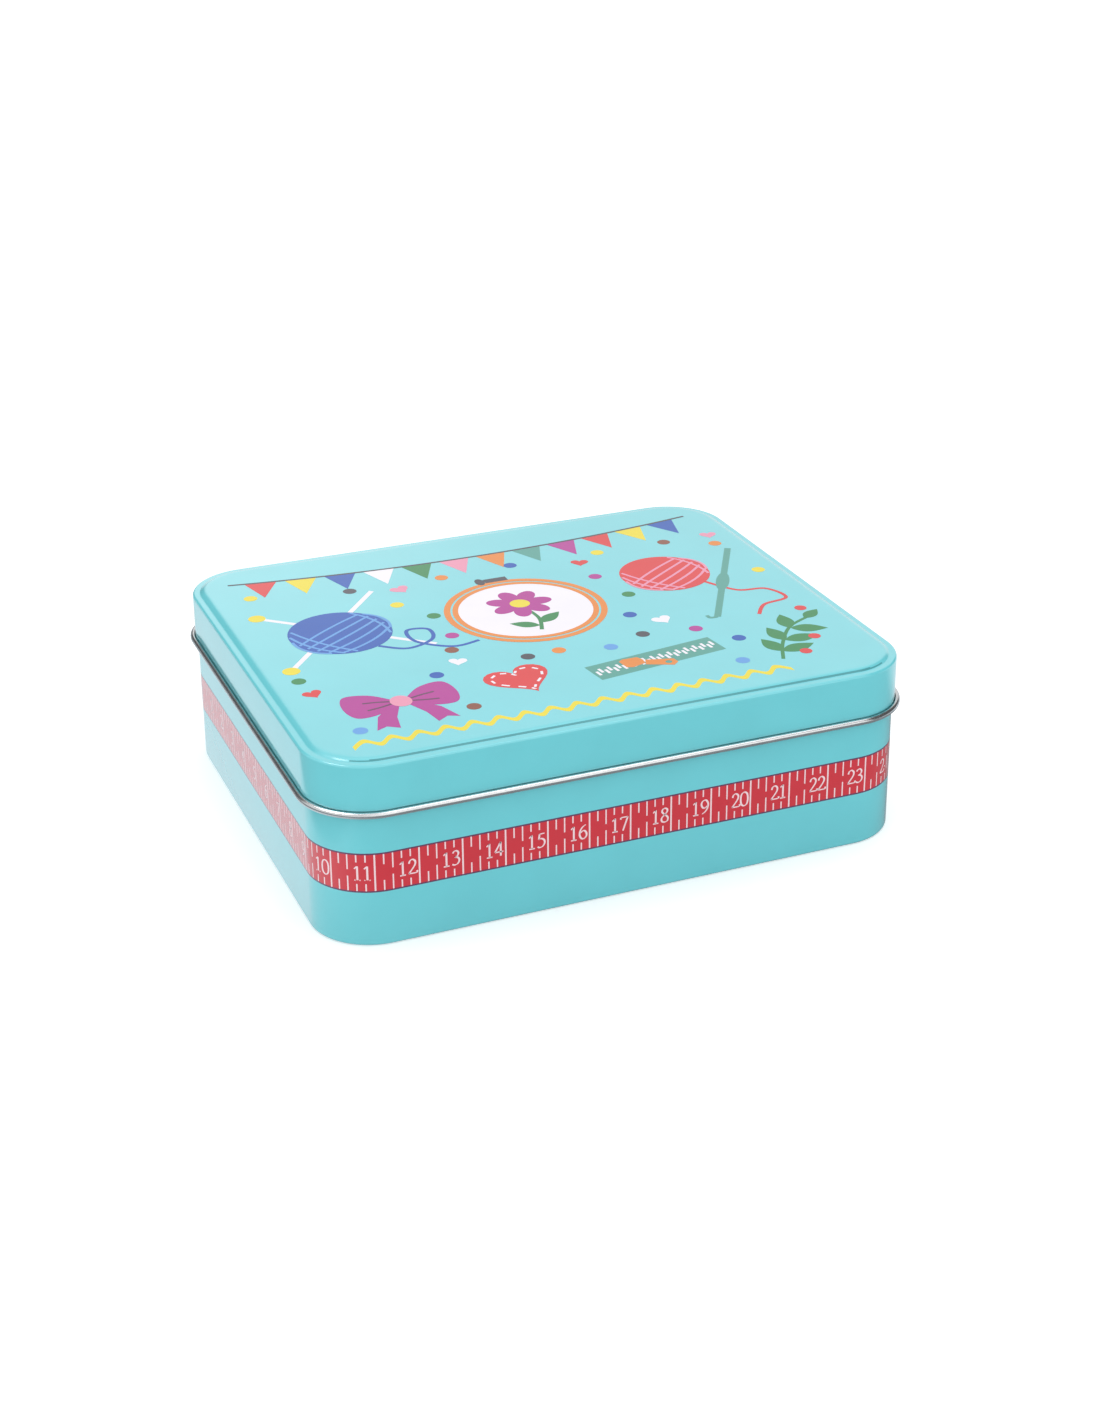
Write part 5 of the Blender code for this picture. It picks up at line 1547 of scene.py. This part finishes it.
def build_pin_wheel():
    """The wheel of pins: card disc, pins with their coloured heads, and the ring that holds them."""
    rings = [(0.9, 1.7), (24.6, 1.7)] + soft_rim(26.5, 1.7, 2.65, 0.25)
    rings += [(25.6, 2.65), (25.4, 2.55), (25.0, 2.55), (24.8, 2.65), (8.2, 2.65), (8.0, 2.52), (7.6, 2.52),
              (7.4, 2.65), (0.9, 2.65), (0.9, 1.7)]
    fit(put(turned("pin_disc", rings, 120), (*WHEEL, 0)), CARD, "tin", "white_plastic", "wheel_disc")

    rings = soft_rim(21, 3.3, 4.05, 0.3) + [(17.3, 4.05), (17.07, 3.95), (17.0, 3.75), (17.0, 3.3), (20.7, 3.3)]
    fit(put(turned("pin_ring", rings, 120), (*WHEEL, 0)), CARD, "tin", "white_plastic", "wheel_pins")

    shaft = put(turned("pin_model", [(0.03, 9.5), (0.24, 11.5), (0.33, 13.0), (0.33, 29.6)], 8), turn=LYING)
    head = put(turned("head_model", [(0.42, 28.9)] + round_of(0, 30.6, 1.6, -72, 84, 9), 14), turn=LYING)
    place = (*WHEEL, PIN_LEVEL)
    pins = sum(count for colour, count in HEADS)
    shafts = []
    for colour, count in HEADS:
        group = []
        for _ in range(count):
            turn = (0, 0, FIRST_PIN - TURN * len(shafts) / pins)
            shafts.append(copy_to(shaft, "pin_shaft", place, turn))
            group.append(copy_to(head, "pin_head", place, turn))
        slot = "dark_plastic" if colour == "black" else "red_plastic"
        glass = plastic("head_" + colour, PIN_HEADS[colour], 0.2)
        fit(join("pin_heads_" + colour, group), glass, "tin", slot, angle=60)
    fit(join("pin_shafts", shafts), TURNED_STEEL, "tin", "steel", angle=60)
    clear_away(shaft, head)


# Needle case

NEEDLES = 14
NEEDLE_PITCH = 1.65
NEEDLE_SPREAD = 0.7 / 30
NEEDLE_BACK, NEEDLE_LEVEL = 2.0, SEAT + 2.15
STRAP_LONG, STRAP_WIDE = 43.4, 6
STRAP_SHEET = 0.3
STRAP_OFFSET = 5
STRAP_LEVEL = 1.92


def build_needle_case():
    """The case of needles: tray, foil pad, needles with their eyes, and the strap over them."""
    rings = [(22.6, 0.6), (23.1, 0.62), (23.4, 0.85), (23.5, 1.1), (23.5, 2.6), (23.7, 2.8), (24.2, 2.8),
             (24.45, 2.6), (24.5, 2.3), (24.5, 0.4), (24.2, 0.05), (23.6, 0.0), (21.0, 0.0), (20.8, 0.15),
             (19.8, 0.15)]
    tray = put(turned("needle_tray", rings, 120), (*CASE, SEAT))
    fit(tray, TRAY_PLASTIC, "tin", "white_plastic", "needle_case")
    rings = [(22.0, 0.9), (23.0, 0.95), (23.2, 1.1), (23.2, 1.35), (23.0, 1.5), (21.6, 1.5), (21.4, 1.38),
             (21.0, 1.38), (20.8, 1.5), (20.0, 1.5)]
    pad = put(turned("foil_pad", rings, 120), (*CASE, SEAT))
    fit(pad, FOIL, "tin", "red_foil", "needle_pad")

    rings = [(0.03, -15), (0.16, -13), (0.28, -9), (0.35, -3), (0.35, 11), (0.36, 12.2), (0.34, 14.4), (0.2, 14.95)]
    needle = turned("needle_model", rings, 12)
    cut_out(needle, block("eye", (0.17, 2.0, 1.7), (0, 0, 13.2)))
    put(needle, turn=(-QUARTER, 0, 0))
    needles = []
    for index in range(NEEDLES):
        share = index - (NEEDLES - 1) / 2
        lean = math.atan(NEEDLE_SPREAD * share)
        place = (CASE[0] + NEEDLE_PITCH * share, CASE[1] - NEEDLE_BACK, NEEDLE_LEVEL)
        needles.append(copy_to(needle, "needle", place, (0, 0, lean)))
    clear_away(needle)
    fit(join("needles", needles), TURNED_STEEL, "tin", "steel", "needle_fan")

    def over_needles(x, y):
        pitch = NEEDLE_PITCH - (STRAP_OFFSET + NEEDLE_BACK) * NEEDLE_SPREAD
        over = math.cos(math.pi * x / pitch - math.pi / 2) ** 2
        body = 1 - soft_rise(abs(x) - 9.6, 3.4)
        return STRAP_LEVEL + body * (0.55 + 0.22 * over) + 0.04 * math.cos(y * 1.05)

    strap = raised_sheet("needle_strap", STRAP_LONG, STRAP_WIDE, (176, 6), over_needles)
    thicken(strap, STRAP_SHEET * MM)
    put(strap, (CASE[0], CASE[1] + STRAP_OFFSET, SEAT))
    fit(strap, STRAP_FOIL, "tin", "red_foil")


# Safety pins

SAFETY_PINS = 9
SAFETY_PIN_PITCH = 2.7
SAFETY_PIN_LEVEL = SEAT + 2.6
COIL_STEPS = 36
COIL_RADIUS = 1.8
COIL_RISE = 0.86


def safety_pin(name, leg):
    """A closed safety pin in its own plane: sheet cap, sprung coil and pointed leg."""
    centre = 5 + leg
    side, end = COIL_RADIUS, COIL_RISE / 2
    path = [(1.6, -side, 0), (5.4, -side, 0), (centre - 5, -side, -0.35), (centre - 2, -side, -end)]
    for index in range(COIL_STEPS + 1):
        turn = math.radians(-90 + 15 * index)
        path.append((centre + side * math.cos(turn), side * math.sin(turn), COIL_RISE * index / COIL_STEPS - end))
    path += [(centre - 2, side, end), (centre - 5, side, 0.35), (6.5, side, 0.05), (3.2, side, 0)]
    wire = wire_along(name, path, 0.4)
    cap = block("cap", (5.0, 5.2, 1.7), (2.5, 0, 0))
    edit(cap, "EDGE")
    pick(cap, lambda edge: max(vert.co.x for vert in edge.verts) < 1 * MM
         and abs(edge.verts[0].co.z - edge.verts[1].co.z) > 1 * MM, "EDGE")
    bpy.ops.mesh.bevel(offset=1.7 * MM, segments=7, affect="EDGES")
    pick(cap, lambda face: abs(face.normal.z) > 0.9)
    inset(0.55, each=True)
    inset(0.3, -0.22, each=True)
    pick(cap, lambda face: face.normal.x > 0.9)
    inset(0.24)
    draw_out(-2.4)
    close()
    soften(cap, 0.12)
    return join(name, [wire, cap])


def build_safety_pins():
    """Nine safety pins hung side by side on a larger one."""
    pin = safety_pin("safety_pin_model", 15.5)
    x, y = HUNG_PINS
    for index in range(SAFETY_PINS):
        number = str(index + 1)
        place = (x + SAFETY_PIN_PITCH * index, y, SAFETY_PIN_LEVEL)
        twin = copy_to(pin, "hung_pin_" + number, place, (QUARTER, 0, QUARTER))
        fit(twin, PIN_STEEL, "tin", "steel", "safety_pin_" + number, angle=45)
    clear_away(pin)
    carrier = put(safety_pin("large_pin", 27.0), (*CARRIER, SAFETY_PIN_LEVEL))
    fit(carrier, PIN_STEEL, "tin", "steel", "carrier_pin", angle=45)


# Bag of buttons

BAG_WIDE, BAG_LONG, BAG_SEAL = 29, 34, 0.12
FILM_SHEET = 0.09
BUTTON_PITCH = 10.4
BUTTONS, BUTTON_LEVEL = 6, SEAT + 0.6
STUDS, STUD_LEVEL = 4, SEAT + 3.0


def bag_top(x, y):
    """The level of the film over the buttons, falling to the seals, with its creases."""
    swell = soft_rise(BAG_WIDE / 2 - abs(x) - 1.3, 3.0) * soft_rise(BAG_LONG / 2 + y - 1.0, 2.2)
    swell *= 1 - 0.14 * soft_rise(y - 6, 11)
    crease = abs(noise.noise(Vector((x * 0.24 + 3, y * 0.16, 0))))
    crease += 0.5 * abs(noise.noise(Vector((x * 0.6, y * 0.5, 4))))
    return BAG_SEAL + swell * (6.15 - 0.9 * min(1.0, crease))


def build_button_bag():
    """A pouch of clear film, sealed on three sides, with buttons and press studs in it."""
    levels = (("film_top", bag_top), ("film_bottom", lambda x, y: BAG_SEAL))
    sheets = [raised_sheet(name, BAG_WIDE, BAG_LONG, (58, 68), level) for name, level in levels]
    edit(sheets[1])
    pick_all()
    bpy.ops.mesh.flip_normals()
    close()
    pouch = join("film_pouch", sheets)
    edit(pouch, "VERT")
    pick_all()
    bpy.ops.mesh.remove_doubles(threshold=0.01 * MM)
    close()
    thicken(pouch, FILM_SHEET * MM)
    put(pouch, (*BAG, SEAT))
    fit(pouch, FILM, "tin", "film", "button_bag", angle=70)

    rings = [(3.6, 0), (4.1, 0.12), (4.75, 0.6), (4.9, 0.95), (4.9, 1.75), (4.78, 2.0), (4.5, 2.1), (4.2, 2.05),
             (3.95, 1.85), (3.75, 1.6), (3.3, 1.45), (2.6, 1.38)]
    button = turned("button_model", rings, 40)
    drill(button, ((-1.3, 0), (1.3, 0)), 0.6, -1, 3)
    rings = [(3.25, 0), (3.4, 0.12), (3.4, 0.8), (3.2, 1.0), (1.75, 1.0), (1.5, 1.12), (1.4, 1.3), (1.38, 1.5),
             (1.2, 1.66), (0.9, 1.7)]
    stud = turned("stud_model", rings, 36)
    drill(stud, ((2.45, 0), (-2.45, 0), (0, 2.45), (0, -2.45)), 0.42, -1, 3)
    for index in range(BUTTONS):
        row, column = divmod(index, 2)
        x, y = BAG[0] + (column - 0.5) * BUTTON_PITCH, BAG[1] + (row - 1) * BUTTON_PITCH
        spin = (0, 0, (37 * index + 15) * DEGREE)
        number = str(index + 1)
        twin = copy_to(button, "dark_button_" + number, (x, y, BUTTON_LEVEL), spin)
        fit(twin, BUTTON_PLASTIC, "tin", "dark_plastic", "button_" + number, angle=30)
        if index < STUDS:
            twin = copy_to(stud, "white_stud_" + number, (x, y, STUD_LEVEL), spin)
            fit(twin, STUD_PLASTIC, "tin", "white_plastic", "press_stud_" + number, angle=30)
    clear_away(button, stud)


# The finishes, and then the building
AQUA_LACQUER = lacquer("aqua_lacquer", AQUA)
# Painted shade: the lid's aqua at half its brightness and without gloss.
PAINTED_SHADE_LACQUER = lacquer("aqua_painted_shade", shade(AQUA, 0.5), 0.0)
RED_INK = lacquer("red_ink", RED)
PLUM_INK = lacquer("plum_ink", PLUM)
CHALK_INK = lacquer("chalk_ink", CHALK)
TINPLATE = tinplate("bare_tinplate")
INKS = {name: lacquer(name + "_ink_on_lid", colour, 0.2) for name, colour in LID_INKS.items()}
RED_MOULDED = plastic("red_moulded", (0.61, 0.052, 0.022), 0.3)
THIMBLE_PLASTIC = plastic("thimble_plastic", (0.58, 0.055, 0.025), 0.38)
RED_CLEAR = plastic("ripper_red", (0.72, 0.05, 0.02), 0.2)
SPOOL_PLASTIC = plastic("spool_plastic", (0.72, 0.73, 0.75), 0.3)
CARD = plastic("white_card", (0.80, 0.80, 0.83), 0.42)
TRAY_PLASTIC = plastic("tray_plastic", (0.82, 0.78, 0.76), 0.26)
BUTTON_PLASTIC = plastic("button_plastic", (0.028, 0.02, 0.018), 0.22)
STUD_PLASTIC = plastic("stud_plastic", (0.80, 0.80, 0.82), 0.3)
TAPE_CLOTH = woven_tape("pink_tape", (0.74, 0.42, 0.53))
TAPE_INK = woven_tape("tape_ink", (0.90, 0.88, 0.92))
FOIL = foil("red_foil", (0.50, 0.045, 0.02), 0.55)
STRAP_FOIL = foil("strap_foil", (0.56, 0.055, 0.025), 0.35)
GROUND_STEEL = steel("ground_steel", 0.1, (1, 16, 4), 0.52)
TURNED_STEEL = steel("bright_steel", 0.25, (1, 1, 1), 0.62)
PIN_STEEL = steel("pin_wire", 0.2, (3, 3, 3), 0.6)
CLEAR = clear_plastic("clear_cap", (0.95, 0.96, 0.97))
FILM = thin_film("clear_film", (0.93, 0.94, 0.95))
THREADS = {
    "white": (0.78, 0.79, 0.80), "black": (0.022, 0.024, 0.016), "coral": (0.74, 0.13, 0.11),
    "blue": (0.035, 0.105, 0.46), "olive": (0.27, 0.26, 0.12), "yellow": (0.78, 0.33, 0.035),
}
PIN_HEADS = {
    "plum": (0.05, 0.015, 0.05), "magenta": (0.36, 0.03, 0.22), "bottle": (0.012, 0.05, 0.035),
    "brown": (0.2, 0.06, 0.03), "orange": (0.7, 0.16, 0.035), "black": (0.015, 0.015, 0.02),
    "green": (0.02, 0.14, 0.04), "red": (0.6, 0.03, 0.03), "white": (0.72, 0.70, 0.68),
}

bpy.context.scene.view_settings.view_transform = "Standard"
for build in (
    build_stage, build_light, build_camera, build_body, build_lid, build_bead, build_tape_band, build_bunting,
    build_knitting, build_hoop, build_bow, build_zip, build_hearts, build_sprig, build_rickrack, build_scissors,
    build_spools, build_thimble, build_seam_ripper, build_tape_measure, build_pin_wheel, build_needle_case,
    build_safety_pins, build_button_bag,
):
    build()
paint(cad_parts["base_panel"], TINPLATE)
